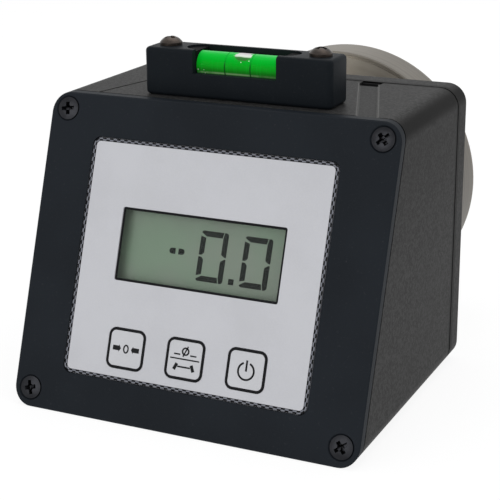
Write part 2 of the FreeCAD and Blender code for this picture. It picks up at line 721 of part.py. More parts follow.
def make_adapter_neck():
    """Turned spacer with a waist and a blind bore for the pin's spring"""
    waist = NECK_R - 3.0
    profile = [(0, 0), (NECK_R, 0), (NECK_R, 5.0), (waist, 9.0), (waist, NECK_L - 8.0),
               (NECK_R, NECK_L - 4.0), (NECK_R, NECK_L), (NECK_BORE_R, NECK_L), (NECK_BORE_R, NECK_FLOOR),
               (0, NECK_FLOOR)]
    neck = turned(profile, Y_BACK)
    cuts = [rod(NECK_SCREW_D / 2, (x, Y_BACK - 1, z), (x, Y_BACK + 6.5, z))
            for x, z in spots(NECK_SCREW_COUNT, NECK_SCREW_CIRCLE_R, COVER_SIDE_ANGLE)]
    cuts += [rod(NECK_SCREW_D / 2, (x, Y_DISC - 6.5, z), (x, Y_DISC + 1, z))
             for x, z in spots(NECK_SCREW_COUNT, NECK_SCREW_CIRCLE_R, DISC_SIDE_ANGLE)]
    return neck.cut(fuse_all(cuts))


def make_neck_screws():
    """Pan heads inside the cover, shanks into the neck"""
    screws = []
    for x, z in spots(NECK_SCREW_COUNT, NECK_SCREW_CIRCLE_R, COVER_SIDE_ANGLE):
        head = rod(CAP_HEAD_R, (x, COVER_FLOOR_Y - 2.6, z), (x, COVER_FLOOR_Y, z))
        stem = rod(NECK_SCREW_D / 2, (x, COVER_FLOOR_Y, z), (x, Y_BACK + 6.0, z))
        screws.append(fuse_all([head, stem]))
    return group(screws)


def make_adapter_disc():
    """Thick disc with a fine groove in its rim, a relieved centre and a ring of magnet pockets"""
    edge = 0.8
    groove = RIM_GROOVE_R - RIM_GROOVE_W
    profile = [(BUSH_R, 0), (groove, 0), (groove, RIM_GROOVE_DEPTH), (RIM_GROOVE_R, RIM_GROOVE_DEPTH),
               (RIM_GROOVE_R, 0), (DISC_R - 0.3, 0), (DISC_R, 0.3), (DISC_R, DISC_T - edge),
               (DISC_R - edge, DISC_T), (RELIEF_R, DISC_T), (RELIEF_R, DISC_T - RELIEF_DEPTH),
               (BUSH_R, DISC_T - RELIEF_DEPTH)]
    disc = turned(profile, Y_DISC)
    cuts = [rod(MAGNET_R + 0.05, (x, Y_FACE - MAGNET_T, z), (x, Y_FACE + 1, z))
            for x, z in spots(MAGNET_COUNT, MAGNET_CIRCLE_R, DISC_SIDE_ANGLE)]
    for x, z in spots(NECK_SCREW_COUNT, NECK_SCREW_CIRCLE_R, DISC_SIDE_ANGLE):
        cuts.append(rod(NECK_SCREW_D / 2 + SCREW_CLEARANCE, (x, Y_DISC - 1, z), (x, Y_FACE, z)))
        cuts.append(rod(CAP_HEAD_R + 0.2, (x, Y_FACE - RELIEF_DEPTH - CAP_SINK, z), (x, Y_FACE, z)))
    return disc.cut(fuse_all(cuts))


def make_magnets():
    magnets = [rod(MAGNET_R, (x, Y_FACE - MAGNET_T, z), (x, Y_FACE - 0.1, z))
               for x, z in spots(MAGNET_COUNT, MAGNET_CIRCLE_R, DISC_SIDE_ANGLE)]
    return group(magnets)


def make_disc_screws():
    """Socket cap screws sunk in the relieved centre"""
    screws = []
    seat = Y_FACE - RELIEF_DEPTH - CAP_SINK
    for x, z in spots(NECK_SCREW_COUNT, NECK_SCREW_CIRCLE_R, DISC_SIDE_ANGLE):
        head = rod(CAP_HEAD_R, (x, seat, z), (x, seat + CAP_HEAD_T, z))
        stem = rod(NECK_SCREW_D / 2, (x, Y_DISC - 6.0, z), (x, seat, z))
        socket = hexagon(CAP_SOCKET_R, 0, 0, 0).extrude(V(0, 0, 3))
        socket.rotate(V(0, 0, 0), V(1, 0, 0), -90)
        socket.translate(V(x, seat + CAP_HEAD_T / 2, z))
        screws.append(fuse_all([head, stem]).cut(socket))
    return group(screws)


BUSH_IN = 3.0
COLLAR_T = 3.0
STUB_R = 3.2
STUB_L = 4.0
Y_COLLAR = Y_DISC - BUSH_IN


def make_pin_bush():
    length = BUSH_IN + DISC_T - RELIEF_DEPTH
    bore = PIN_R + BUSH_CLEARANCE
    profile = [(bore, 0), (BUSH_R, 0), (BUSH_R, length), (bore + 0.4, length), (bore, length - 0.4)]
    return turned(profile, Y_COLLAR)


def make_centring_pin():
    """Sliding pin with a cone tip, a collar and a stub that carries the spring"""
    nose = Y_FACE + NOSE_START
    tip = nose + NOSE_L + NOSE_R / math.tan(math.radians(30))
    collar_back = Y_COLLAR - COLLAR_T
    collar_r = NECK_BORE_R - 0.3
    profile = [(0, collar_back - STUB_L), (STUB_R, collar_back - STUB_L), (STUB_R, collar_back),
               (collar_r, collar_back), (collar_r, Y_COLLAR), (PIN_R, Y_COLLAR), (PIN_R, nose),
               (NOSE_R, nose), (NOSE_R, nose + NOSE_L), (0.4, tip), (0, tip)]
    return turned(profile)


def biarc(start, start_way, end, end_way):
    """Two arcs that leave a point and reach another along given unit directions"""
    chord = end - start
    both = start_way + end_way
    bend = 2 * (1 - start_way.dot(end_way))
    reach = (-chord.dot(both) + math.sqrt(chord.dot(both) ** 2 + bend * chord.dot(chord))) / bend
    first_corner = start + start_way * reach
    last_corner = end - end_way * reach
    joint = (first_corner + last_corner) * 0.5
    arcs = []
    for near, corner, far in ((start, first_corner, joint), (joint, last_corner, end)):
        weight = math.cos((corner - near).getAngle(far - near))
        middle = (near + corner * (2 * weight) + far) * (0.5 / (1 + weight))
        arcs.append(Part.Arc(near, middle, far).toShape())
    return arcs


def along_arcs(face, arcs):
    """Solid that a face leaves when it is turned along each arc after the other"""
    skin = []
    section = face
    for arc in arcs:
        turn = math.degrees(arc.LastParameter - arc.FirstParameter)
        swept = section.OuterWire.revolve(arc.Curve.Center, arc.Curve.Axis, turn)
        skin.extend(swept.Faces)
        section = section.copy()
        section.rotate(arc.Curve.Center, arc.Curve.Axis, turn)
    shell = Part.makeShell([face] + skin + [section])
    shell.sewShape()
    return Part.makeSolid(shell)


def make_pin_spring():
    """Compression spring between the neck's floor and the pin's collar, from quarter-turn arcs"""
    start = Y_BACK + NECK_FLOOR + SPRING_WIRE / 2 + SPRING_PLAY
    end = Y_COLLAR - COLLAR_T - SPRING_WIRE / 2 - SPRING_PLAY
    pitch = (end - start) / SPRING_TURNS
    rise = pitch / (2 * math.pi)
    points = []
    ways = []
    for k in range(2 * SPRING_TURNS + 1):
        turn = math.pi * k
        points.append(V(SPRING_R * math.cos(turn), start + rise * turn, AXIS_Z + SPRING_R * math.sin(turn)))
        way = V(-SPRING_R * math.sin(turn), rise, SPRING_R * math.cos(turn))
        ways.append(way.normalize())
    arcs = []
    for k in range(2 * SPRING_TURNS):
        arcs += biarc(points[k], ways[k], points[k + 1], ways[k + 1])
    section = hexagon(SPRING_WIRE / 2, 0, 0, 0)
    section.Placement = FreeCAD.Placement(points[0], FreeCAD.Rotation(V(0, 0, 1), ways[0]))
    print("spring: gap between turns", round(pitch - SPRING_WIRE, 2), "mm")
    return along_arcs(section, arcs)


PARTS = {
    "housing_shell": make_housing,
    "front_panel": make_front_panel,
    "panel_gasket": make_panel_gasket,
    "panel_screws": make_panel_screws,
    "keypad_overlay": make_overlay,
    "display_window": make_display_window,
    "zero_key": lambda: make_key(KEY_U["zero"]),
    "mode_key": lambda: make_key(KEY_U["mode"]),
    "power_key": lambda: make_key(KEY_U["power"]),
    "zero_plunger": lambda: make_plunger(KEY_U["zero"]),
    "mode_plunger": lambda: make_plunger(KEY_U["mode"]),
    "power_plunger": lambda: make_plunger(KEY_U["power"]),
    "key_switches": make_key_switches,
    "lcd_glass": make_lcd_glass,
    "lcd_holder": make_lcd_holder,
    "contact_strips": make_contact_strips,
    "main_board": make_main_board,
    "board_standoffs": make_board_standoffs,
    "board_screws": make_board_screws,
    "sensor_board": make_sensor_board,
    "tilt_sensor": make_tilt_sensor,
    "sensor_spacers": make_sensor_spacers,
    "sensor_screws": make_sensor_screws,
    "battery": make_battery,
    "battery_clip": make_battery_clip,
    "battery_connector": make_battery_connector,
    "rear_gasket": make_rear_gasket,
    "rear_cover": make_rear_cover,
    "rear_cover_screws": make_rear_cover_screws,
    "level_block": make_level_block,
    "level_vial": make_level_vial,
    "vial_liquid": make_vial_liquid,
    "vial_end_pads": make_vial_end_pads,
    "level_screws": make_level_screws,
    "adapter_neck": make_adapter_neck,
    "neck_screws": make_neck_screws,
    "adapter_disc": make_adapter_disc,
    "disc_screws": make_disc_screws,
    "magnets": make_magnets,
    "pin_bush": make_pin_bush,
    "centring_pin": make_centring_pin,
    "pin_spring": make_pin_spring,
}


def main():
    os.makedirs("parts", exist_ok=True)
    for name, make in PARTS.items():
        shape = make()
        solids = shape.Solids
        if not solids:
            raise RuntimeError(name + " has no solid")
        shape = solids[0] if len(solids) == 1 else group(solids)
        if not shape.isValid():
            print(name, "is not valid")
        shape.exportStep(os.path.join("parts", name + ".step"))
        low = shape.BoundBox
        print(name, "solids", len(solids), "volume", round(shape.Volume),
              "z", round(low.ZMin, 2), round(low.ZMax, 2), "y", round(low.YMin, 2), round(low.YMax, 2))


main()
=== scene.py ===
# %% [markdown]
# # A camber and caster gauge, dressed in Blender
# The gauge is a dark coated box with a leaning panel. The panel carries a printed label with a
# display and three keys, a small level stands on top, and a magnetic hub adapter sits on the back.
# The frame already holds every solid at its real size, so this lesson only dresses it: it gives
# each solid its finish and adds the thin things that are printed, filled or screwed on.

# %% Load the frame
import json
import math

import bmesh
import bpy
from mathutils import Matrix, Vector


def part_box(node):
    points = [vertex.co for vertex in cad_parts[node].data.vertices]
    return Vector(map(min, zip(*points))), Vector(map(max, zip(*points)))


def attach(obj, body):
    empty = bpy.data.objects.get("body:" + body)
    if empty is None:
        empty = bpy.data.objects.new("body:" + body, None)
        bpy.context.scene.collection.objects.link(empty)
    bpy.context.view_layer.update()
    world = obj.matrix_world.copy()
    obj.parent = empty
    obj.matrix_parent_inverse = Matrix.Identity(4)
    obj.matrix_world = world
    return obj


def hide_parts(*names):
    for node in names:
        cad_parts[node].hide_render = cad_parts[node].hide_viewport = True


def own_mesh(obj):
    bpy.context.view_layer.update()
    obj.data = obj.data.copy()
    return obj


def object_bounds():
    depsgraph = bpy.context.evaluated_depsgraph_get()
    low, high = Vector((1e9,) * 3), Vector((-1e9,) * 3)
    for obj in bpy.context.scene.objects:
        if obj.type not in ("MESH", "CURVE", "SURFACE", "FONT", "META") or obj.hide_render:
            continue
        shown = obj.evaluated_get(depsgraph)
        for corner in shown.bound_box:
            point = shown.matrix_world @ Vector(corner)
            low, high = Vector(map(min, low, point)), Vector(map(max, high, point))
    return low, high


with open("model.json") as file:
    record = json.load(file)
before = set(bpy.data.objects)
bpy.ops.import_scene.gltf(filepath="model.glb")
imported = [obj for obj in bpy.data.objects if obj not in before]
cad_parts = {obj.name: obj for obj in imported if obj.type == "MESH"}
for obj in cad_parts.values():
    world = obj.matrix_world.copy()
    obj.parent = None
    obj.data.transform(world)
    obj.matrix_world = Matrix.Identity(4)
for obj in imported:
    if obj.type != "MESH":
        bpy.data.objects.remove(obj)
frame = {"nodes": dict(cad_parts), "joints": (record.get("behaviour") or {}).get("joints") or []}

scene = bpy.context.scene
nodes = frame["nodes"]
cad_box = [list(corner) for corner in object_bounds()]
print("solids:", len(nodes), "box:", [[round(value, 4) for value in corner] for corner in cad_box])

# %% [markdown]
# ## The camera
# The photograph was taken from the right of the panel and a little above it, with a long lens.
# The camera is built first, because the display lies behind the label and its figures are
# placed by the line of sight. It could be aimed with a constraint, but a direction worked out
# from three angles keeps every number readable.

# %% Aim the camera
CAMERA_PLACE = Vector((0.15383, -0.31985, 0.15304))
AZIMUTH = math.radians(25.33)
ELEVATION = math.radians(18.16)
ROLL = math.radians(0.51)
SENSOR_WIDTH = 36.0
LENS = 102.34

sight = Vector((-math.sin(AZIMUTH) * math.cos(ELEVATION),
                math.cos(AZIMUTH) * math.cos(ELEVATION),
                -math.sin(ELEVATION)))
camera = bpy.data.objects.new("camera", bpy.data.cameras.new("camera"))
camera.data.lens = LENS
camera.data.sensor_width = SENSOR_WIDTH
camera.location = CAMERA_PLACE
camera.rotation_mode = "QUATERNION"
camera.rotation_quaternion = (Matrix.Rotation(ROLL, 4, sight).to_quaternion()
                              @ sight.to_track_quat("-Z", "Y"))
scene.collection.objects.link(camera)
scene.camera = camera
print("camera looks along", [round(value, 3) for value in sight])

# %% [markdown]
# ## Axes of the leaning panel
# Everything printed lies on the panel, so it is drawn flat in millimetres: u to the right, v up
# the slope and n outwards. The keys move straight in, so their joint gives the direction of n,
# and the outermost point of the panel's solid tells how far out its face lies. One matrix then
# carries a flat drawing to its place.

# %% Find the panel's plane in the frame
MM = 0.001

press = next(joint for joint in frame["joints"] if joint["name"] == "zero_press")
outward = -Vector(press["axis"]).normalized()
right = Vector((1.0, 0.0, 0.0))
upslope = outward.cross(right)
face_reach = max(vertex.co.dot(outward) for vertex in nodes["front_panel"].data.vertices)
panel_foot = Vector((0.0, face_reach / outward.y, 0.0))

PANEL = Matrix.Translation(panel_foot) @ Matrix((
    (right.x, upslope.x, outward.x, 0.0),
    (right.y, upslope.y, outward.y, 0.0),
    (right.z, upslope.z, outward.z, 0.0),
    (0.0, 0.0, 0.0, 1.0))) @ Matrix.Scale(MM, 4)
TO_METRES = Matrix.Scale(MM, 4)
print("panel leans back by", round(90 - math.degrees(math.acos(outward.z)), 2), "degrees")


def panel_extent(node):
    """Lowest and highest (u, v, n) of a solid, in millimetres"""
    back = PANEL.inverted()
    places = [back @ vertex.co for vertex in nodes[node].data.vertices]
    low = [min(place[axis] for place in places) for axis in range(3)]
    high = [max(place[axis] for place in places) for axis in range(3)]
    return low, high


def middle_and_size(node):
    """Middle and size of a solid along the panel's own axes"""
    low, high = panel_extent(node)
    middle = [(low[axis] + high[axis]) / 2 for axis in range(3)]
    return middle, [high[axis] - low[axis] for axis in range(3)]


def front_of(node):
    """How far out a solid reaches, on the scale where the panel's face is at 0"""
    return panel_extent(node)[1][2]


# %% [markdown]
# ## Arithmetic on sockets
# A finish is a sum of small effects: a cloud here, a grain there, one minus a mask. Wiring Math
# nodes by hand hides that sum. The class below wraps an output socket, so that a plain Python
# expression adds the nodes, in a shader tree and in a geometry tree alike. Everything that
# isn't arithmetic goes through one method, which sets a node's own settings before its sockets.

# %% Sockets that can be added and multiplied
class Link:
    """An output socket; arithmetic on it adds Math nodes to its tree"""

    def __init__(self, graph, socket):
        self.graph = graph
        self.socket = socket

    def math(self, operation, *values):
        return self.graph.node("ShaderNodeMath", {"operation": operation}, dict(enumerate(values)))

    def __add__(self, other):
        return self.math("ADD", self, other)

    def __radd__(self, other):
        return self.math("ADD", other, self)

    def __sub__(self, other):
        return self.math("SUBTRACT", self, other)

    def __rsub__(self, other):
        return self.math("SUBTRACT", other, self)

    def __mul__(self, other):
        return self.math("MULTIPLY", self, other)

    def __rmul__(self, other):
        return self.math("MULTIPLY", other, self)

    def __truediv__(self, other):
        return self.math("DIVIDE", self, other)

    def __rtruediv__(self, other):
        return self.math("DIVIDE", other, self)

    def __mod__(self, other):
        return self.math("MODULO", self, other)

    def __pow__(self, other):
        return self.math("POWER", self, other)

    def __gt__(self, other):
        return self.math("GREATER_THAN", self, other)

    def __lt__(self, other):
        return self.math("LESS_THAN", self, other)

    def floor(self):
        return self.math("FLOOR", self)

    def sine(self):
        return self.math("SINE", self)

    def size(self):
        return self.math("ABSOLUTE", self)

    def larger(self, other):
        return self.math("MAXIMUM", self, other)

    def other(self, output):
        """Another output of the same node"""
        return Link(self.graph, self.socket.node.outputs[output])


class Graph:
    """A node tree that is written as expressions"""

    def __init__(self, tree):
        self.tree = tree

    def node(self, kind, settings=None, values=None, output=0):
        made = self.tree.nodes.new(kind)
        for name, value in (settings or {}).items():
            if name == "stops":
                self.set_stops(made.color_ramp, value)
            else:
                setattr(made, name, value)
        for key, value in (values or {}).items():
            for single in value if isinstance(value, list) else [value]:
                if isinstance(single, Link):
                    self.tree.links.new(single.socket, made.inputs[key])
                else:
                    made.inputs[key].default_value = single
        return Link(self, made.outputs[output]) if made.outputs else made

    @staticmethod
    def set_stops(ramp, stops):
        while len(ramp.elements) < len(stops):
            ramp.elements.new(1.0)
        for element, (position, colour) in zip(ramp.elements, stops):
            element.position = position
            element.color = colour

    def place(self):
        """Place on the piece in metres, the same in every pose"""
        return self.node("ShaderNodeTexCoord", output="Object")

    def axes(self):
        parts = self.node("ShaderNodeSeparateXYZ", values={0: self.place()})
        return parts, parts.other(1), parts.other(2)

    def noise(self, scale, detail=2.0, roughness=0.5, place=None):
        """Cloud whose lumps are about 1 / scale metres wide"""
        return self.node("ShaderNodeTexNoise", values={
            "Vector": place or self.place(), "Scale": scale, "Detail": detail, "Roughness": roughness})

    def rings(self, value, scale, detail=2.0):
        """Noise along one value only, so it keeps its tone wherever that value is the same"""
        return self.node("ShaderNodeTexNoise", {"noise_dimensions": "1D"},
                         {"W": value, "Scale": scale, "Detail": detail})

    def blend(self, share, first, second):
        """Colour that goes from the first to the second as the share goes from 0 to 1"""
        return self.node("ShaderNodeMix", {"data_type": "RGBA"}, {0: share, 6: first, 7: second}, 2)

    def ramp(self, value, low, high):
        """0 below low, 1 above high and a soft rise between them"""
        return self.node("ShaderNodeMapRange", {"interpolation_type": "SMOOTHSTEP"},
                         {"Value": value, "From Min": low, "From Max": high})

    def bump(self, height, depth):
        """Normal of a surface whose height of 1 stands for a depth in millimetres"""
        return self.node("ShaderNodeBump", values={"Distance": depth * MM, "Height": height})


def tone(red, green, blue, gain=1.0):
    """A colour as it shows on screen, 0 to 255, as the light values that shaders use"""
    def linear(level):
        share = level / 255
        return share / 12.92 if share <= 0.04045 else ((share + 0.055) / 1.055) ** 2.4
    return (linear(red) * gain, linear(green) * gain, linear(blue) * gain, 1.0)


def new_finish(name):
    """An empty material and the graph of its nodes"""
    finish = bpy.data.materials.new(name)
    finish.use_nodes = True
    finish.node_tree.nodes.clear()
    return finish, Graph(finish.node_tree)


def surface(graph, values):
    """Close a finish with the usual shader"""
    shader = graph.node("ShaderNodeBsdfPrincipled", values=values)
    graph.node("ShaderNodeOutputMaterial", values={"Surface": shader})


# %% [markdown]
# ## The coated housing
# The real box is bent and milled aluminium under a dark powder coat. Such a coat is a film of
# melted grains, so it has a fine orange-peel bump, a slightly uneven tone and a dull shine.
# An image could show that, but layered noise in object coordinates needs no unwrapping and has
# the same grain on every face. The panel has a finer and darker coat than the box.
# The box is painted darker on its bends, as painted shade and a painted reflection, and on the
# sides below them and along the rear seam, as painted shade. Painted highlights run along the edges
# of the shallow channel of its top. Each mark is a mask that knows where that edge runs, so it
# stays on the edge whatever the view.

# %% Where the box gets painted shade and painted highlights
housing_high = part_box("housing_shell")[1]
SEAM_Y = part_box("rear_cover")[0].y
# Painted shade: along the rear seam, on the upper bends and on the sides below them
SEAM_FADE = (0.8 * MM, 2.4 * MM)
SEAM_DARKNESS = 0.9
BEND_RADIUS = 5.1 * MM
BEND_SHIFT = 1.4 * MM
BEND_FADE = (1.2 * MM, 5.4 * MM)
BEND_SIDE_FADE = (0.0, 0.4 * MM)
BEND_TOP_FADE = (-3.0 * MM, 0.4 * MM)
CHEEK_SIDE_FADE = (3.0 * MM, 5.0 * MM)
CHEEK_HEIGHT_FADE = (38.0 * MM, 70.0 * MM)
CHEEK_DARKNESS = 0.3
# Painted highlights along the edges of the slanting channel on the top
CHANNEL_LINES = (21.6 * MM, 26.9 * MM)
CHANNEL_FADE = (0.1 * MM, 0.5 * MM)
CHANNEL_BACK = SEAM_Y - 3.3 * MM
CHANNEL_DEPTH = 0.8 * MM
CHANNEL_SLOPE = math.tan(math.radians(20.0))


def painted_shade_marks(graph):
    """1 of painted shade on the upper bends of the box, nearly 1 along the rear seam and less on the
    sides
    """
    x, y, z = graph.axes()
    seam = 1 - graph.ramp((y - SEAM_Y).size(), *SEAM_FADE)
    sideward = x.size() - (housing_high.x - BEND_RADIUS)
    upward = z - (housing_high.z - BEND_RADIUS)
    bend = 1 - graph.ramp((sideward - upward - BEND_SHIFT).size(), *BEND_FADE)
    bend = bend * graph.ramp(sideward, *BEND_SIDE_FADE) * graph.ramp(upward, *BEND_TOP_FADE)
    cheek = graph.ramp(sideward, *CHEEK_SIDE_FADE) * graph.ramp(z, *CHEEK_HEIGHT_FADE)
    return (SEAM_DARKNESS * seam).larger(bend).larger(CHEEK_DARKNESS * cheek)


def painted_highlight_marks(graph):
    """1 of painted highlight along both edges of the slanting channel"""
    x, y, z = graph.axes()
    across = x + (y - CHANNEL_BACK) * CHANNEL_SLOPE
    lines = [1 - graph.ramp((across - line).size(), *CHANNEL_FADE) for line in CHANNEL_LINES]
    on_top = (z > housing_high.z - CHANNEL_DEPTH) * (y < CHANNEL_BACK)
    return (lines[0] + lines[1]) * on_top


# %% Powder coats
DUST = (150, 150, 152)
# Grey and share of the painted highlight on the channel's edges
HIGHLIGHT_GREY = (150, 150, 148)
DARK_GAIN = 0.1
HIGHLIGHT_SHARE = 0.28
BOX_COAT = {"colour": (37, 37, 37), "grain": 3200.0, "depth": 0.035, "dull": 0.5, "specular": 0.05,
            "mottle": 0.75, "marked": True}


def powder_coat(name, colour, grain, depth, dull, specular, mottle=0.0, marked=False):
    """Coat whose lumps are about 1 / grain metres wide and stand a depth in millimetres proud"""
    finish, graph = new_finish(name)
    peel = graph.noise(grain, 3.0, 0.6)
    cloud = graph.noise(38.0, 2.0)
    spots = graph.noise(1300.0, 3.0, 0.65)
    dust = graph.ramp(graph.noise(grain * 0.35, 4.0, 0.7), 0.58, 0.8)
    shade = graph.blend(graph.ramp(cloud, 0.3, 0.7),
                        tone(*colour, gain=0.88), tone(*colour, gain=1.12))
    shade = graph.blend(mottle * graph.ramp(spots, 0.4, 0.62), shade, tone(*colour, gain=2.6))
    shade = graph.blend(dust * 0.06, shade, tone(*DUST))
    if marked:
        # Painted shade and painted reflection on the bends, the upper sides and the rear seam
        shade = graph.blend(painted_shade_marks(graph), shade, tone(*colour, gain=DARK_GAIN))
        # Painted highlight along the channel's edges
        shade = graph.blend(HIGHLIGHT_SHARE * painted_highlight_marks(graph), shade, tone(*HIGHLIGHT_GREY))
    surface(graph, {
        "Base Color": shade,
        "Roughness": dull + 0.1 * (peel - 0.5) + 0.06 * (cloud - 0.5),
        "Specular IOR Level": specular,
        "Normal": graph.bump(peel, depth)})
    return finish


housing_coat = powder_coat("housing_coat", **BOX_COAT)
cover_coat = powder_coat("cover_coat", **BOX_COAT)
panel_coat = powder_coat("panel_coat", (30, 34, 39), grain=4200.0, depth=0.02, dull=0.5, specular=0.05)
level_coat = powder_coat("level_coat", (24, 28, 32), grain=5200.0, depth=0.012, dull=0.42, specular=0.03)
print("coats made:", housing_coat.name, cover_coat.name, panel_coat.name, level_coat.name)

# %% [markdown]
# ## The label and its keys
# The label is a pale polyester film with a satin front. The keys are part of the same print, so
# they nearly share its colour and are a little smoother. Two scales of faint mottling keep the
# film from looking like a flat fill. The ink is a separate finish, because it lies on the film as
# a layer of its own.

# %% Film, ink and window
def printed_film(name, colour, dull):
    """Satin film with a broad and a fine mottling"""
    finish, graph = new_finish(name)
    fibre = graph.noise(2600.0, 2.0, 0.6)
    cloud = graph.noise(60.0, 3.0, 0.55)
    mottle = graph.ramp(cloud * 0.7 + fibre * 0.3, 0.35, 0.65)
    surface(graph, {
        "Base Color": graph.blend(mottle, tone(*colour, gain=0.965), tone(*colour, gain=1.03)),
        "Roughness": dull + 0.12 * (cloud - 0.5),
        "Specular IOR Level": 0.3,
        "Normal": graph.bump(fibre, 0.006)})
    return finish


def ink(name, colour, dull):
    """Thin layer of ink that lets a little of what is under it through"""
    finish, graph = new_finish(name)
    coverage = graph.noise(3400.0, 2.0, 0.6)
    thin = [level + 6 for level in colour]
    surface(graph, {
        "Base Color": graph.blend(graph.ramp(coverage, 0.35, 0.7), tone(*colour), tone(*thin)),
        "Roughness": dull + 0.1 * (coverage - 0.5),
        "Specular IOR Level": 0.1,
        "Normal": graph.bump(coverage, 0.003)})
    return finish


def clear_sheet(name, colour, cover, dull):
    """Clear plastic that lets most light straight through"""
    finish, graph = new_finish(name)
    smear = graph.noise(90.0, 3.0, 0.6)
    surface(graph, {
        "Base Color": tone(*colour),
        "Alpha": cover + 0.02 * (smear - 0.5),
        "Roughness": dull + 0.05 * smear,
        "Specular IOR Level": 0.12,
        "Normal": graph.bump(smear, 0.002)})
    return finish


label_film = printed_film("label_film", (199, 200, 205), dull=0.42)
key_film = printed_film("key_film", (201, 202, 206), dull=0.38)
black_ink = ink("black_ink", (8, 9, 12), dull=0.38)
pale_ink = ink("pale_ink", (124, 126, 134), dull=0.45)
clear_window = clear_sheet("clear_window", (110, 116, 114), cover=0.06, dull=0.08)
print("label finishes made:", label_film.name, key_film.name, black_ink.name)

# %% [markdown]
# ## The display
# A reflective display is a grey-green sandwich: a dull metal foil under glass, with dark figures
# that lie a hair above it. The foil's fine brushed grain runs along the glass, so the noise is
# stretched by a Mapping node. The figures get their own almost black green.

# %% Foil and figures
def display_foil(name, colour):
    """Brushed grey-green foil that is a little greener in patches"""
    finish, graph = new_finish(name)
    along = graph.node("ShaderNodeMapping", values={"Vector": graph.place(), "Scale": (0.08, 1.0, 1.0)})
    brushed = graph.noise(4200.0, 2.0, 0.6, along)
    cloud = graph.noise(45.0, 2.0)
    greener = (colour[0] - 6, colour[1] + 6, colour[2] - 3)
    shade = graph.blend(graph.ramp(cloud, 0.35, 0.65), tone(*colour), tone(*greener))
    surface(graph, {
        "Base Color": graph.blend(0.12 * brushed, shade, tone(188, 196, 186)),
        "Roughness": 0.32 + 0.1 * (brushed - 0.5),
        "Specular IOR Level": 0.25,
        "Normal": graph.bump(brushed, 0.002)})
    return finish


lcd_face = display_foil("lcd_face", (125, 139, 123))
lcd_figure = ink("lcd_figure", (8, 14, 9), dull=0.55)
print("display finishes made:", lcd_face.name, lcd_figure.name)

# %% [markdown]
# ## The hub adapter's metal
# The disc and its neck are turned from one bar, so a tool has left rings around their axis on
# the flats and fine lines along it on the rims. Both come from one rule: a noise that only
# knows the distance from the axis and the place along it. It has one dimension, so each ring
# keeps its tone all the way round.
# The disc's rim and its face towards the box are painted darker to the sides, as painted shade and
# a painted reflection of the dark box. Masks on the place within the disc darken it there.

# %% Turned and ground metal
adapter_low, adapter_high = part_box("adapter_disc")
AXIS_HEIGHT = (adapter_low.z + adapter_high.z) / 2
RIM_FADE = (adapter_high.x - 0.6 * MM, adapter_high.x - 0.2 * MM)
DEPTH_FADE = (adapter_high.y - 8.5 * MM, adapter_high.y - 0.5 * MM)
FACE_FADE = (19.0 * MM, 22.0 * MM)
SIDE_FADE = (-1.0 * MM, 16.0 * MM)
FAR_SIDE_FADE = (22.0 * MM, 36.0 * MM)
RIM_SHADE = 0.47
FACE_SHADE = 0.62
FAR_SIDE_SHADE = 0.4
SHADE_GAIN = 0.08


def side_shade(graph, x, y, distance, on_rim):
    """How much painted shade and painted reflection darken the disc's rim and its face towards the box"""
    near_box = 1 - graph.ramp(y, *DEPTH_FADE)
    beside = graph.ramp(x.size(), *FAR_SIDE_FADE) * on_rim
    on_face = graph.ramp(distance, *FACE_FADE) * near_box * (1 - on_rim)
    shade = graph.ramp(x.size(), *SIDE_FADE) * (RIM_SHADE * on_rim + FACE_SHADE * on_face)
    return shade + FAR_SIDE_SHADE * beside * near_box


def turned_metal(name, colour, worn, dull, metallic=0.9, ring=9000.0, rim=1.0):
    """Metal with tool marks about its axis, whose rim gets painted shade as dark as its gain says"""
    finish, graph = new_finish(name)
    x, y, z = graph.axes()
    up = z - AXIS_HEIGHT
    distance = (x * x + up * up) ** 0.5
    marks = graph.rings(distance + y, ring)
    band = graph.rings(distance - y, ring * 0.08, 1.0)
    stain = graph.noise(70.0, 4.0, 0.6)
    on_rim = graph.ramp(distance, *RIM_FADE)
    tint = graph.blend(graph.ramp(stain, 0.35, 0.7), tone(*colour), tone(*worn))
    # Painted shade on the rim: the worn tone lowered by the rim's gain
    tint = graph.blend(on_rim, tint, tone(*worn, gain=rim))
    # Painted shade and painted reflection towards the sides of the disc
    shade = side_shade(graph, x, y, distance, on_rim)
    tint = graph.blend(shade, tint, tone(*worn, gain=SHADE_GAIN))
    surface(graph, {
        "Base Color": graph.blend(0.35 * band, tint, tone(*colour, gain=0.75)),
        "Metallic": metallic,
        "Roughness": dull + 0.14 * (band - 0.5) + 0.1 * (stain - 0.5),
        "Normal": graph.bump(marks, 0.006)})
    return finish


adapter_metal = turned_metal("adapter_metal", (202, 194, 180), (182, 174, 160), 0.5, 0.35, rim=0.28)
bush_bronze = turned_metal("bush_bronze", (168, 130, 84), (140, 104, 66), 0.35)
pin_steel = turned_metal("pin_steel", (176, 176, 174), (150, 149, 146), 0.25, 0.95, ring=12000.0)
print("turned metals made; the adapter's axis is", round(AXIS_HEIGHT / MM, 1), "mm up")

# %% [markdown]
# ## Screws, springs and other small metal
# Screws are blackened, bronzed or plated, and the spring, the battery's clip and the pillars are
# drawn or pressed metal. All are too small for tool marks to show, so they share one recipe: a
# tone that wears to a second one in soft patches, and a scratchy bump.

# %% One recipe for small metal
def plain_metal(name, colour, worn, dull, metallic=0.9):
    """Plated or blackened small metal, a little worn"""
    finish, graph = new_finish(name)
    stain = graph.noise(270.0, 3.0, 0.6)
    scratch = graph.noise(3600.0, 2.0, 0.7)
    surface(graph, {
        "Base Color": graph.blend(graph.ramp(stain, 0.35, 0.7), tone(*colour), tone(*worn)),
        "Metallic": metallic,
        "Roughness": dull + 0.15 * (stain - 0.5),
        "Normal": graph.bump(scratch, 0.004)})
    return finish


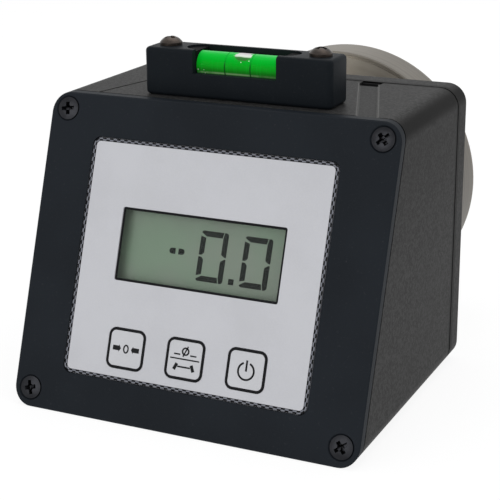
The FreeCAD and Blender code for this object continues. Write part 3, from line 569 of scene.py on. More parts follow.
black_screw = plain_metal("black_screw", (24, 25, 29), (38, 39, 43), 0.34, 0.75)
bronze_screw = plain_metal("bronze_screw", (68, 60, 54), (44, 40, 38), 0.34, 0.8)
steel_screw = plain_metal("steel_screw", (168, 168, 165), (140, 140, 138), 0.32)
magnet_metal = plain_metal("magnet_metal", (178, 178, 180), (158, 157, 156), 0.2, 1.0)
spring_steel = plain_metal("spring_steel", (120, 122, 126), (92, 92, 95), 0.3)
clip_steel = plain_metal("clip_steel", (160, 162, 164), (134, 134, 136), 0.35)
sensor_can = plain_metal("sensor_can", (176, 174, 168), (150, 148, 142), 0.3)
brass_pillar = plain_metal("brass_pillar", (190, 158, 92), (160, 128, 70), 0.3)
print("small metals made:", black_screw.name, bronze_screw.name, steel_screw.name, spring_steel.name)

# %% [markdown]
# ## Rubber, mouldings and boards
# These pieces are inside the box or show as a thin line at a seam. They share one recipe with
# other numbers: a tone that drifts, a grain and a matching bump. A recipe with arguments is
# enough, because what sets them apart on the bench is colour, grain size and shine.

# %% One recipe for moulded pieces
def moulded(name, colour, drift, grain, depth, dull, specular=0.4):
    """Rubber or plastic whose tone drifts by some levels and whose pores are 1 / grain metres"""
    finish, graph = new_finish(name)
    cloud = graph.noise(120.0, 3.0)
    pores = graph.noise(grain, 3.0, 0.6)
    drifted = [level + drift for level in colour]
    surface(graph, {
        "Base Color": graph.blend(graph.ramp(cloud * 0.6 + pores * 0.4, 0.35, 0.65), tone(*colour),
                                  tone(*drifted)),
        "Roughness": dull + 0.14 * (pores - 0.5),
        "Specular IOR Level": specular,
        "Normal": graph.bump(pores, depth)})
    return finish


gasket_rubber = moulded("gasket_rubber", (24, 24, 25), 10, 2200.0, 0.02, 0.75, 0.2)
contact_rubber = moulded("contact_rubber", (150, 148, 150), -30, 1800.0, 0.01, 0.6)
holder_plastic = moulded("holder_plastic", (46, 47, 47), 8, 1500.0, 0.01, 0.5, 0.2)
switch_plastic = moulded("switch_plastic", (38, 38, 40), 8, 1500.0, 0.008, 0.45)
plunger_plastic = moulded("plunger_plastic", (210, 208, 200), -14, 1500.0, 0.006, 0.45)
connector_plastic = moulded("connector_plastic", (34, 33, 33), 8, 1300.0, 0.01, 0.5)
end_pad_rubber = moulded("end_pad_rubber", (10, 11, 12), 6, 1800.0, 0.01, 0.7, 0.05)


def circuit_board(name):
    """Green lacquer over copper tracks that run in steps"""
    finish, graph = new_finish(name)
    cells = graph.node("ShaderNodeTexVoronoi", {"distance": "CHEBYCHEV", "feature": "F1"},
                       {"Vector": graph.place(), "Scale": 420.0})
    track = graph.ramp((cells * 9.0).sine(), 0.2, 0.45)
    weave = graph.noise(2600.0, 2.0)
    surface(graph, {
        "Base Color": graph.blend(track, tone(24, 84, 52), tone(42, 118, 74)),
        "Roughness": 0.32 + 0.12 * weave,
        "Normal": graph.bump(track * 0.8 + weave * 0.2, 0.03)})
    return finish


BAND_STARTS = 0.66
BAND_IS_FULL = 0.67


def battery_wrap(name, low, high):
    """Dark jacket with a plain copper-coloured band at one end"""
    finish, graph = new_finish(name)
    x, _, _ = graph.axes()
    length = high.x - low.x
    band = graph.ramp(x, low.x + BAND_STARTS * length, low.x + BAND_IS_FULL * length)
    scuff = graph.noise(500.0, 4.0, 0.65)
    surface(graph, {
        "Base Color": graph.blend(band, tone(30, 30, 33), tone(150, 100, 62)),
        "Metallic": 0.45 * band,
        "Roughness": 0.3 + 0.2 * scuff,
        "Normal": graph.bump(scuff, 0.01)})
    return finish


board_green = circuit_board("board_green")
battery_jacket = battery_wrap("battery_jacket", *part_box("battery"))
print("inner finishes made:", board_green.name, battery_jacket.name)

# %% [markdown]
# ## The vial of the level
# The vial is a clear acrylic barrel round a chamber of dyed spirit. The
# barrel acts as a lens: from outside, the chamber seems to fill it. True glass could be traced,
# but it is noisy and its colour would be lost in an exported mesh. So the barrel itself carries
# the green, as a ramp over its height that holds painted light: a painted highlight under its top,
# a clear green, and a foot darkened by painted shade with a pale streak of painted highlight where
# the light leaves it. A part of the colour is a painted glow, given as emission.

# %% Barrel, filling and bubble
vial_low, vial_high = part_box("level_vial")
# Share of the vial's colour that is a painted glow
PAINTED_GLOW = 0.42
LINE_GREEN = (14, 214, 66)
# Pale streak of painted highlight near the barrel's foot
STREAK_GREEN = (138, 172, 124)
STREAK_RISE = (0.24, 0.29)
STREAK_FALL = (0.29, 0.35)


def dyed_with_painted_light(name, stops, cover, glow=PAINTED_GLOW, streak=0.0):
    """Dyed plastic whose colour follows its height in the barrel, from 0 at the foot to 1, as painted
    highlight and shade, partly as a painted glow
    """
    finish, graph = new_finish(name)
    x, _, z = graph.axes()
    height = (z - vial_low.z) / (vial_high.z - vial_low.z)
    swirl = graph.noise(190.0, 3.0)
    lines = graph.rings(x, 2100.0)
    tones = [(place, tone(*colour)) for place, colour in stops]
    shade = graph.node("ShaderNodeValToRGB", {"stops": tones}, {"Fac": height + 0.05 * (swirl - 0.5)})
    shade = graph.blend(0.12 * graph.ramp(lines, 0.5, 0.75), shade, tone(*LINE_GREEN))
    # Painted highlight: a pale streak low on the barrel
    foot = graph.ramp(height, *STREAK_RISE) * (1 - graph.ramp(height, *STREAK_FALL))
    shade = graph.blend(streak * foot * graph.ramp(swirl, 0.35, 0.6), shade, tone(*STREAK_GREEN))
    # Painted glow: part of the colour is emission, and the lit colour is lowered by as much
    surface(graph, {
        "Base Color": graph.blend(glow, shade, (0.0, 0.0, 0.0, 1.0)),
        "Alpha": cover + 0.04 * (swirl - 0.5),
        "Roughness": 0.12 + 0.06 * swirl,
        "Specular IOR Level": 0.02,
        "Emission Color": shade,
        "Emission Strength": glow})
    return finish


# Painted light over the barrel's height: painted shade at the foot, painted highlight under the top
BARREL_STOPS = [
    (0.25, (36, 100, 36)), (0.40, (22, 122, 26)), (0.52, (12, 152, 28)), (0.66, (3, 168, 30)),
    (0.84, (8, 186, 48)), (0.93, (22, 195, 62)), (0.975, (48, 202, 84)), (1.0, (84, 206, 110))]
# The filling is darker towards its foot, as painted shade
FLUID_STOPS = [(0.2, (16, 120, 26)), (0.8, (8, 180, 40))]
# Painted highlight in a pale band on the bubble's top, with painted shade below it
BUBBLE_STOPS = [
    (0.7, (44, 116, 44)), (0.86, (60, 122, 60)), (0.905, (70, 126, 70)), (0.925, (214, 232, 210)),
    (0.96, (236, 240, 234)), (1.0, (214, 206, 212))]
# The rings are printed; their ramp lays painted shade on their lower part
RING_STOPS = [(0.3, (20, 70, 24)), (0.62, (10, 96, 26)), (0.75, (10, 150, 38)), (0.9, (18, 176, 56))]
vial_glaze = dyed_with_painted_light("vial_glaze", BARREL_STOPS, cover=0.96, streak=0.7)
vial_fluid = dyed_with_painted_light("vial_fluid", FLUID_STOPS, cover=0.97)
bubble_skin = dyed_with_painted_light("bubble_skin", BUBBLE_STOPS, cover=0.97, glow=0.6)
ring_ink = dyed_with_painted_light("ring_ink", RING_STOPS, cover=0.96, glow=0.3)
print("vial spans", [round(value / MM, 1) for value in (vial_low.x, vial_high.x)], "mm")

# %% [markdown]
# ## Dressing the solids
# Each solid of the frame keeps its mesh and only gets a finish in its material slots. A table
# of piece to finish is easier to check than forty separate lines, and the loop tells if a
# solid was forgotten.

# %% Give every solid its finish
finish_of = {
    "housing_shell": housing_coat, "rear_cover": cover_coat, "front_panel": panel_coat,
    "panel_gasket": gasket_rubber, "rear_gasket": gasket_rubber, "panel_screws": black_screw,
    "rear_cover_screws": black_screw, "keypad_overlay": label_film, "zero_key": key_film,
    "mode_key": key_film, "power_key": key_film, "display_window": clear_window,
    "lcd_glass": lcd_face, "lcd_holder": holder_plastic, "contact_strips": contact_rubber,
    "main_board": board_green, "sensor_board": board_green, "board_standoffs": brass_pillar,
    "board_screws": steel_screw, "sensor_screws": steel_screw, "sensor_spacers": brass_pillar,
    "tilt_sensor": sensor_can, "key_switches": switch_plastic, "zero_plunger": plunger_plastic,
    "mode_plunger": plunger_plastic, "power_plunger": plunger_plastic, "battery": battery_jacket,
    "battery_clip": clip_steel, "battery_connector": connector_plastic, "level_block": level_coat,
    "level_vial": vial_glaze, "vial_liquid": vial_fluid, "vial_end_pads": end_pad_rubber,
    "level_screws": bronze_screw, "adapter_neck": adapter_metal, "adapter_disc": adapter_metal,
    "neck_screws": steel_screw, "disc_screws": black_screw, "magnets": magnet_metal,
    "pin_bush": bush_bronze, "centring_pin": pin_steel, "pin_spring": spring_steel,
}
for name, solid in nodes.items():
    if not solid.material_slots:
        solid.data.materials.append(None)
    for material_slot in solid.material_slots:
        material_slot.material = finish_of[name]
print("dressed solids:", len(nodes), "without a finish:", sorted(set(nodes) - set(finish_of)))

# %% [markdown]
# ## From a drawing to a thin plate
# Ink, film and display figures are flat shapes, but they are made as thin closed plates, so
# that they stay solid from every side and in an exported mesh. One helper raises a filled
# outline, another one a line of some width. Both draw flat and in millimetres, and the matrix of
# the panel carries the drawing to its place.

# %% Plates and lines
def add_plate(shape, outline, low, high):
    """Closed plate over an outline given anticlockwise"""
    lower = [shape.verts.new((u, v, low)) for u, v in outline]
    upper = [shape.verts.new((u, v, high)) for u, v in outline]
    shape.faces.new(upper)
    shape.faces.new(lower[::-1])
    for here in range(len(outline)):
        after = (here + 1) % len(outline)
        shape.faces.new((lower[here], lower[after], upper[after], upper[here]))


def add_line(shape, points, width, low, high):
    """Closed plate along an open line, with square ends"""
    sides = ([], [])
    for index, point in enumerate(points):
        before = Vector(points[max(index - 1, 0)])
        after = Vector(points[min(index + 1, len(points) - 1)])
        way = (after - before).normalized()
        across = Vector((-way.y, way.x)) * (width / 2)
        sides[0].append(Vector(point) - across)
        sides[1].append(Vector(point) + across)
    add_plate(shape, sides[0] + sides[1][::-1], low, high)


def arc(centre, radius, start, end, steps=24):
    """Points from one angle to another, in degrees anticlockwise"""
    angles = [math.radians(start + (end - start) * step / steps) for step in range(steps + 1)]
    return [(centre[0] + radius * math.cos(angle), centre[1] + radius * math.sin(angle))
            for angle in angles]


def closed_piece(name, shape, carry, finish):
    """Turn a drawing's mesh into a piece with outward faces at its place"""
    bmesh.ops.recalc_face_normals(shape, faces=shape.faces)
    mesh = bpy.data.meshes.new(name)
    shape.to_mesh(mesh)
    shape.free()
    mesh.transform(carry)
    mesh.materials.append(finish)
    piece = bpy.data.objects.new(name, mesh)
    scene.collection.objects.link(piece)
    return piece


def settle(piece, body, stands_for=()):
    """Give a finished piece to its body and say what it stands for"""
    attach(piece, body)
    if stands_for:
        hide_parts(*stands_for)
    print(piece.name, "faces:", len(piece.data.polygons), "rides on", body)


# %% [markdown]
# ## The figures of the display
# A seven-bar figure is drawn once, as its upper half: a top bar, a left bar and a right bar that
# holds the corner. The lower half is the same mirrored, and a slight slant leans the figure.
# The figures lie on the glass behind the window. Seen at an angle, a deeper thing looks shifted,
# so the line of sight through the window gives the shift that brings them to where the
# photograph shows them.

# %% Draw the reading
FIGURE_WIDTH = 7.55
FIGURE_HEIGHT = 12.7
BAR = 1.42
BAR_GAP = 0.22
CORNER = 0.75
SLANT = 0.016
FIGURE_FOOT = 38.67
FIGURE_LEFTS = (-0.34, 11.7)
POINT_CENTRE = (9.42, 39.57)
POINT_SIZE = 1.48
MINUS_CENTRE = (-6.45, 45.27)
MINUS_LENGTH = 4.3
MINUS_HEIGHT = 1.5
MINUS_GAP = 0.8
FILM = 0.02

glass_face = front_of("lcd_glass")
window_middle, _ = middle_and_size("display_window")
eye = PANEL.inverted() @ CAMERA_PLACE
sideways = (eye.x - window_middle[0]) / eye.z * glass_face
upwards = (eye.y - window_middle[1]) / eye.z * glass_face


def half_figure():
    """Upper half of a nought, from its left foot, as three outlines"""
    w = FIGURE_WIDTH
    h = FIGURE_HEIGHT
    middle = h / 2
    tip = middle + BAR_GAP
    shoulder = middle + 0.62 * BAR
    mitre = 0.8 * BAR
    top_bar = [(1.1 * BAR, h - BAR), (w - BAR - BAR_GAP, h - BAR), (w - mitre - BAR_GAP, h)]
    top_bar += arc((CORNER, h - CORNER), CORNER, 90, 160, 5)
    left_bar = [(0, tip), (0.55 * BAR, tip), (BAR, shoulder), (BAR, h - BAR - 1.6 * BAR_GAP),
                (0, h - mitre - BAR_GAP)]
    right_bar = [(w - BAR, shoulder), (w - 0.3 * BAR, tip), (w, tip)]
    right_bar += arc((w - CORNER, h - CORNER), CORNER, 0, 80, 5)
    right_bar += [(w - mitre, h), (w - BAR, h - BAR)]
    return top_bar, left_bar, right_bar


def draw_on_glass(shape, outline, place):
    """Plate over an outline, moved to its place as it is seen through the window"""
    seen = [(place[0] + u + sideways, place[1] + v + upwards) for u, v in outline]
    add_plate(shape, seen, glass_face - 0.1 * FILM, glass_face + FILM)


def leaning(outline):
    """An outline slanted about its middle"""
    return [(u + SLANT * (v - FIGURE_HEIGHT / 2), v) for u, v in outline]


# %% Put the figures, the point and the minus on the glass
reading = bmesh.new()
for left in FIGURE_LEFTS:
    for outline in half_figure():
        mirrored = [(u, FIGURE_HEIGHT - v) for u, v in outline[::-1]]
        draw_on_glass(reading, leaning(outline), (left, FIGURE_FOOT))
        draw_on_glass(reading, leaning(mirrored), (left, FIGURE_FOOT))
half = POINT_SIZE / 2
draw_on_glass(reading, [(-half, -half), (half, -half), (half, half), (-half, half)], POINT_CENTRE)
for side in (-1, 1):
    inner = side * MINUS_GAP / 2
    outer = side * (MINUS_LENGTH - MINUS_HEIGHT) / 2
    start = -90 if side > 0 else 270
    cap = arc((outer, 0), MINUS_HEIGHT / 2, start, start + side * 180, 10)
    dash = [(inner, -MINUS_HEIGHT / 2)] + cap + [(inner, MINUS_HEIGHT / 2)]
    draw_on_glass(reading, dash if side > 0 else dash[::-1], MINUS_CENTRE)
figures = closed_piece("display_figures", reading, PANEL, lcd_figure)
settle(figures, "housing")
print("figures shifted by", round(sideways, 2), "mm for their depth of", round(-glass_face, 2), "mm")

# %% [markdown]
# ## Growing repeated shapes with Geometry Nodes
# Screws, frames and the chequered edge repeat or follow a path. A tree with named inputs can
# grow each of them at any size. The helper below makes such a tree, runs it on an empty object
# and keeps the result as a plain mesh, because an exported model has no use for a live tree.

# %% Trees and their harvest
def new_tree(name, inputs):
    """An empty geometry tree with named inputs, given as (name, kind of socket, value)"""
    tree = bpy.data.node_groups.new(name, "GeometryNodeTree")
    tree.is_modifier = True
    tree.interface.new_socket("Geometry", in_out="OUTPUT", socket_type="NodeSocketGeometry")
    for label, kind, value in inputs:
        socket = tree.interface.new_socket(label, in_out="INPUT", socket_type="NodeSocket" + kind)
        if value is not None:
            socket.default_value = value
    graph = Graph(tree)
    entry = tree.nodes.new("NodeGroupInput")
    return tree, graph, {label: Link(graph, entry.outputs[label]) for label, _, _ in inputs}


def close_tree(graph, shape, finish):
    """Turn what is instanced into mesh, give it its finish and end the tree"""
    shape = graph.node("GeometryNodeRealizeInstances", values={"Geometry": shape})
    shape = graph.node("GeometryNodeSetMaterial", values={"Geometry": shape, "Material": finish})
    graph.node("NodeGroupOutput", values={"Geometry": shape})


def grow(name, tree, sizes, carry, points=()):
    """Run a tree on some points and keep what it makes as a plain mesh at its place"""
    seed_mesh = bpy.data.meshes.new(name + "_seed")
    seed_mesh.from_pydata(points, [], [])
    carrier = bpy.data.objects.new(name + "_seed", seed_mesh)
    scene.collection.objects.link(carrier)
    modifier = carrier.modifiers.new("grow", "NODES")
    modifier.node_group = tree
    for socket in tree.interface.items_tree:
        if socket.in_out == "INPUT" and socket.name in sizes:
            modifier[socket.identifier] = sizes[socket.name]
    grown = carrier.evaluated_get(bpy.context.evaluated_depsgraph_get())
    mesh = bpy.data.meshes.new_from_object(grown)
    bpy.data.objects.remove(carrier)
    mesh.name = name
    mesh.transform(carry)
    piece = bpy.data.objects.new(name, mesh)
    scene.collection.objects.link(piece)
    return piece


# %% [markdown]
# ## Printed frames
# The label has a black edge with a chequered tape along it, the window has a thin black frame
# and each key has an outline. All are one shape: a band that follows a rectangle with round
# corners. The tree sweeps a short line along that rectangle and raises the strip to the
# thickness of ink. For the tape it first drops every second tile, with the rows out of step.

# %% A tree for bands and chequered tapes
CORNER_STEPS = 8
WELD = 0.0005

band_tree, graph, given = new_tree("printed_band", [
    ("Width", "Float", 10.0), ("Height", "Float", 10.0), ("Corner", "Float", 2.0),
    ("Line", "Float", 0.5), ("Thickness", "Float", FILM), ("Tiles", "Int", 0),
    ("Steps", "Int", 4), ("Finish", "Material", None)])
outline = graph.node("GeometryNodeCurvePrimitiveQuadrilateral",
                     values={"Width": given["Width"], "Height": given["Height"]})
outline = graph.node("GeometryNodeFilletCurve", {"mode": "POLY"},
                     {"Curve": outline, "Count": CORNER_STEPS, "Radius": given["Corner"]})
even = graph.node("GeometryNodeResampleCurve", {"mode": "COUNT"},
                  {"Curve": outline, "Count": given["Tiles"] * given["Steps"]})
tiled = given["Tiles"] > 0.5
path = graph.node("GeometryNodeSwitch", {"input_type": "GEOMETRY"},
                  {"Switch": tiled, "False": outline, "True": even})
start = graph.node("ShaderNodeCombineXYZ", values={"X": -0.5 * given["Line"]})
end = graph.node("ShaderNodeCombineXYZ", values={"X": 0.5 * given["Line"]})
across = graph.node("GeometryNodeCurvePrimitiveLine", values={"Start": start, "End": end})
across = graph.node("GeometryNodeResampleCurve", {"mode": "COUNT"}, {"Curve": across, "Count": 3})
strip = graph.node("GeometryNodeCurveToMesh", values={"Curve": path, "Profile Curve": across})
index = graph.node("GeometryNodeInputIndex")
row = index % 2
tile = ((index / 2).floor() / given["Steps"]).floor()
dark = ((row + tile) % 2) < 0.5
strip = graph.node("GeometryNodeDeleteGeometry", {"domain": "FACE"},
                   {"Geometry": strip, "Selection": tiled * dark})
raised = graph.node("GeometryNodeExtrudeMesh", {"mode": "FACES"},
                    {"Mesh": strip, "Offset Scale": given["Thickness"], "Individual": False})
base = graph.node("GeometryNodeFlipFaces", values={"Mesh": strip})
band = graph.node("GeometryNodeJoinGeometry", values={"Geometry": [raised, base]})
band = graph.node("GeometryNodeMergeByDistance", values={"Geometry": band, "Distance": WELD})
close_tree(graph, band, given["Finish"])
print("band tree has", len(band_tree.nodes), "nodes")

# %% Put a band on a solid's front
def facing_out(piece):
    """Recalculate which way the faces of a closed mesh point"""
    shape = bmesh.new()
    shape.from_mesh(piece.data)
    bmesh.ops.recalc_face_normals(shape, faces=shape.faces)
    shape.to_mesh(piece.data)
    shape.free()
    return piece


def print_band(name, body, node, size, corner, line, finish=black_ink, above=0.0, tiles=0):
    """A printed band whose outer edge has a given size and corner, on the front of a solid"""
    middle, _ = middle_and_size(node)
    sizes = {"Width": size[0] - line, "Height": size[1] - line, "Corner": corner - line / 2,
             "Line": line, "Tiles": tiles, "Finish": finish}
    place = PANEL @ Matrix.Translation((middle[0], middle[1], front_of(node) + above))
    settle(facing_out(grow(name, band_tree, sizes, place)), body)


# %% Print the label's edge and the window's frame
EDGE_LINE = 0.95
EDGE_INSET = 0.02
EDGE_CORNER = 2.1
TAPE_LINE = 0.74
TAPE_CORNER = 2.0
TILE_LENGTH = 1.035
WINDOW_OPENING = (45.5, 18.7)
WINDOW_LINE = 0.62
WINDOW_CORNER = 0.6

_, label_size = middle_and_size("keypad_overlay")
edge_size = [side - 2 * EDGE_INSET for side in label_size[:2]]
tape_size = [side - (EDGE_LINE - TAPE_LINE) for side in edge_size]
tape_length = 2 * (tape_size[0] + tape_size[1]) - 4 * TAPE_LINE
tiles = 2 * round(tape_length / TILE_LENGTH / 2)

print_band("label_edge_band", "housing", "keypad_overlay", edge_size, EDGE_CORNER, EDGE_LINE)
print_band("label_edge_tiles", "housing", "keypad_overlay", tape_size, TAPE_CORNER, TAPE_LINE,
           pale_ink, FILM, tiles)
print_band("window_frame_line", "housing", "display_window", WINDOW_OPENING, WINDOW_CORNER, WINDOW_LINE)
print("chequered tape has", tiles, "tiles to a row")

# %% [markdown]
# ## What is printed on the keys
# Each key carries its outline and a sign, and both ride on the key's own body, so that they go
# in with it. The signs are generic: a nought between two arrows sets the zero, a wheel on a
# leaning axis over a pair of leaning wheels picks the angle that is measured, and a broken
# ring switches the gauge on. The outline is a little wider than the cap but slips through the
# panel's opening, so a pressed key doesn't cut into the panel.

# %% The sign for zero
def zero_sign(shape, low, high):
    """A narrow nought between two block arrows that point at it"""
    nought_half = (0.62, 0.95)
    nought_line = 0.4
    tip = 1.45
    barb = 2.05
    tail = 3.75
    barb_half = 0.95
    shaft_half = 0.6
    nought = [(nought_half[0] * u, nought_half[1] * v) for u, v in arc((0, 0), 1, 0, 360, 36)]
    add_line(shape, nought, nought_line, low, high)
    arrow = [(tip, 0), (barb, -barb_half), (barb, -shaft_half), (tail, -shaft_half),
             (tail, shaft_half), (barb, shaft_half), (barb, barb_half)]
    add_plate(shape, arrow, low, high)
    add_plate(shape, [(-u, v) for u, v in arrow[::-1]], low, high)


# %% The sign for the mode
def mode_sign(shape, low, high):
    """A wheel on a leaning axis over a dividing line and a pair of leaning wheels"""
    row = 1.95
    wheel_radius = 0.85
    wheel_line = 0.42
    thin_line = 0.36
    divider_half = 4.05
    divider_line = 0.34
    axis_half = 1.45
    ground = (1.4, 3.1)
    foot = (2.7, -2.8)
    wheel_height = 1.75
    wheel_width = 0.85
    axle_half = 1.75
    axle_line = 0.4
    lean = math.radians(24)
    add_line(shape, [(-divider_half, 0), (divider_half, 0)], divider_line, low, high)
    add_line(shape, arc((0, row), wheel_radius, 0, 360, 32), wheel_line, low, high)
    axis = Vector((math.sin(lean), math.cos(lean))) * axis_half
    add_line(shape, [(-axis.x, row - axis.y), (axis.x, row + axis.y)], thin_line, low, high)
    for side in (-1, 1):
        level = row - wheel_radius
        add_line(shape, [(side * ground[0], level), (side * ground[1], level)], thin_line, low, high)
        bottom = Vector((side * foot[0], foot[1]))
        top = bottom + Vector((-side * math.sin(lean), math.cos(lean))) * wheel_height
        add_line(shape, [bottom, top], wheel_width, low, high)
    add_line(shape, [(-axle_half, -row), (axle_half, -row)], axle_line, low, high)


# %% The sign for power
def power_sign(shape, low, high):
    """A ring that is open at the top, with an upright in the gap"""
    line = 0.5
    radius = 2.1
    centre = -0.25
    opening = 23
    upright = (-0.3, 2.45)
    add_line(shape, arc((0, centre), radius, 90 + opening, 450 - opening, 40), line, low, high)
    add_line(shape, [(0, upright[0]), (0, upright[1])], line, low, high)


# %% Put signs and outlines on the keys
HOLE_SIZE = (10.5, 10.3)
HOLE_CORNER = 2.0
RIM_PLAY = 0.03
KEY_LINE = 0.66

rim_size = [side - 2 * RIM_PLAY for side in HOLE_SIZE]
signs = {"zero": zero_sign, "mode": mode_sign, "power": power_sign}
for key, sign in signs.items():
    middle, _ = middle_and_size(key + "_key")
    top = front_of(key + "_key")
    drawing = bmesh.new()
    sign(drawing, top, top + FILM)
    place = PANEL @ Matrix.Translation((middle[0], middle[1], 0.0))
    settle(closed_piece(key + "_sign", drawing, place, black_ink), key + "_button")
for key in signs:
    print_band(key + "_key_outline", key + "_button", key + "_key", rim_size,
               HOLE_CORNER - RIM_PLAY, KEY_LINE)

# %% [markdown]
# ## Cross-headed screws
# Three sets of screws hold the gauge together: raised countersunk ones in the panel, pan heads
# on the level and flat pan heads in the back cover. They differ only in numbers, so one tree
# makes all. A cylinder's rings are lifted into a dome and its underside is drawn in to a cone,
# then a tapered cross is cut out. No two screws stop at the same angle, so a seeded random
# turn spins each one.

# %% A tree for screws
screw_tree, graph, given = new_tree("cross_screw", [
    ("Points", "Geometry", None), ("Head Radius", "Float", 3.1), ("Head Height", "Float", 1.4),
    ("Dome", "Float", 0.3), ("Foot Radius", "Float", 1.7), ("Shank Radius", "Float", 1.7),
    ("Shank Length", "Float", 6.0), ("Recess Depth", "Float", 1.4), ("Seed", "Int", 1),
    ("Finish", "Material", None)])


def shaped(graph, mesh, rule):
    """Move each point of a mesh to where a rule on its x, y and z puts it"""
    parts = graph.node("ShaderNodeSeparateXYZ", values={0: graph.node("GeometryNodeInputPosition")})
    x, y, z = rule(parts, parts.other(1), parts.other(2))
    place = graph.node("ShaderNodeCombineXYZ", values={0: x, 1: y, 2: z})
    return graph.node("GeometryNodeSetPosition", values={"Geometry": mesh, "Position": place})


def head_rule(x, y, z):
    height = given["Head Height"]
    share = (x * x + y * y) / (given["Head Radius"] * given["Head Radius"])
    upper = z > 0
    narrowing = upper + (1 - upper) * given["Foot Radius"] / given["Head Radius"]
    dome = upper * given["Dome"] * (1 - share ** 1.3)
    return x * narrowing, y * narrowing, z - height / 2 + dome


BLADE_FOOT = (0.42, 0.62)


def blade_rule(x, y, z):
    upper = z > 0
    along = BLADE_FOOT[0] + (1 - BLADE_FOOT[0]) * upper
    across = BLADE_FOOT[1] + (1 - BLADE_FOOT[1]) * upper
    return x * along, y * across, z + given["Dome"]


# %% Head, shank and recess
BLADE = (1.6, 0.46)
PIT_RADIUS = 0.34
PIT_TIP = 0.02
PIT_DEPTH = 1.2
PIT_SINK = 1.15
SHANK_SINK = 0.6

head = graph.node("GeometryNodeMeshCylinder", {"fill_type": "NGON"}, {
    "Vertices": 64, "Side Segments": 1, "Fill Segments": 9,
    "Radius": given["Head Radius"], "Depth": given["Head Height"]})
head = shaped(graph, head, head_rule)
shank = graph.node("GeometryNodeMeshCylinder", values={
    "Vertices": 32, "Radius": given["Shank Radius"], "Depth": given["Shank Length"]})
sink = graph.node("ShaderNodeCombineXYZ",
                  values={"Z": -0.5 * given["Shank Length"] - SHANK_SINK * given["Head Height"]})
shank = graph.node("GeometryNodeTransform", values={"Geometry": shank, "Translation": sink})
blades = []
for length, width in (BLADE, BLADE[::-1]):
    size = graph.node("ShaderNodeCombineXYZ", values={
        "X": length * given["Head Radius"], "Y": width * given["Head Radius"],
        "Z": 2 * given["Recess Depth"]})
    blades.append(shaped(graph, graph.node("GeometryNodeMeshCube", values={"Size": size}), blade_rule))
pit = graph.node("GeometryNodeMeshCone", values={
    "Vertices": 24, "Radius Top": PIT_RADIUS * given["Head Radius"], "Radius Bottom": PIT_TIP,
    "Depth": PIT_DEPTH * given["Recess Depth"]})
pit_place = graph.node("ShaderNodeCombineXYZ",
                       values={"Z": given["Dome"] - PIT_SINK * given["Recess Depth"]})
pit = graph.node("GeometryNodeTransform", values={"Geometry": pit, "Translation": pit_place})
screw = graph.node("GeometryNodeMeshBoolean", {"operation": "UNION"}, {"Mesh 2": [head, shank]})
screw = graph.node("GeometryNodeMeshBoolean", {"operation": "DIFFERENCE"},
                   {"Mesh 1": screw, "Mesh 2": blades + [pit]})
turn = graph.node("FunctionNodeRandomValue", {"data_type": "FLOAT"},
                  {"Max": 2 * math.pi, "Seed": given["Seed"]}, 1)
spin = graph.node("ShaderNodeCombineXYZ", values={"Z": turn})
set_of = graph.node("GeometryNodeInstanceOnPoints",
                    values={"Points": given["Points"], "Instance": screw, "Rotation": spin})
close_tree(graph, set_of, given["Finish"])
print("screw tree has", len(screw_tree.nodes), "nodes")


# %% Find where the screws sit
def screw_tops(node, carry, rows):
    """Middle of each head's top, for screws that stand in one or two rows of two"""
    back = carry.inverted()
    places = [back @ vertex.co for vertex in nodes[node].data.vertices]
    centre = sum(places, Vector()) / len(places)
    groups = {}
    for place in places:
        corner = (place.x > centre.x, rows > 1 and place.y > centre.y)
        groups.setdefault(corner, []).append(place)
    tops = []
    for members in groups.values():
        low = [min(place[axis] for place in members) for axis in range(3)]
        high = [max(place[axis] for place in members) for axis in range(3)]
        tops.append(((low[0] + high[0]) / 2, (low[1] + high[1]) / 2, high[2]))
    return sorted(tops)


def sharp_shaded(piece, limit=32.0):
    """Smooth shading that keeps an edge where the faces turn more than a limit"""
    piece.data.shade_smooth()
    piece.data.set_sharp_from_angle(angle=math.radians(limit))
    return piece


# %% Set the screws
SHANK_RADIUS = 1.7
RECESS_DEPTH = 1.5
BACKWARD = Matrix.Rotation(-math.pi / 2, 4, "X") @ TO_METRES


def set_screws(node, carry, rows, sunk, sizes):
    """Put cross-headed screws, sunk by so much, where a solid has its plain ones"""
    tops = [(x, y, top - sunk) for x, y, top in screw_tops(node, carry, rows)]
    sizes = {"Shank Radius": SHANK_RADIUS, "Recess Depth": RECESS_DEPTH, "Finish": finish_of[node],
             **sizes}
    screws = grow(node[:-1] + "_set", screw_tree, sizes, carry, tops)
    settle(sharp_shaded(screws), "housing", [node])


set_screws("panel_screws", PANEL, 2, 0.0, {
    "Head Radius": 2.92, "Head Height": 1.4, "Dome": 0.35, "Foot Radius": 1.72,
    "Shank Length": 5.0, "Seed": 386})
set_screws("level_screws", TO_METRES, 1, 1.45, {
    "Head Radius": 2.9, "Head Height": 0.8, "Dome": 1.45, "Foot Radius": 2.85,
    "Shank Length": 14.0, "Seed": 3})
set_screws("rear_cover_screws", BACKWARD, 2, 0.2, {
    "Head Radius": 3.1, "Head Height": 2.0, "Dome": 0.2, "Foot Radius": 3.1,
    "Shank Length": 14.0, "Seed": 9})

# %% [markdown]
# ## The spring behind the centring pin
# The pin slides into the neck against a coil spring, which gets shorter as it does. A stiff mesh
# would cut through the pin's collar, so the coil is grown again as a round tube along a spiral. It
# rests on the floor of the neck.

# %% Wind the spring
WIRE_RADIUS = 0.45

spring_tree, graph, given = new_tree("coil_spring", [
    ("Coil Radius", "Float", 5.0), ("Wire Radius", "Float", WIRE_RADIUS), ("Length", "Float", 17.0),
    ("Turns", "Float", 5.0), ("Finish", "Material", None)])
coil = graph.node("GeometryNodeCurveSpiral", values={
    "Resolution": 32, "Rotations": given["Turns"], "Start Radius": given["Coil Radius"],
    "End Radius": given["Coil Radius"], "Height": given["Length"]})
wire = graph.node("GeometryNodeCurvePrimitiveCircle",
                  values={"Resolution": 12, "Radius": given["Wire Radius"]})
coil = graph.node("GeometryNodeCurveToMesh",
                  values={"Curve": coil, "Profile Curve": wire, "Fill Caps": True})
close_tree(graph, coil, given["Finish"])

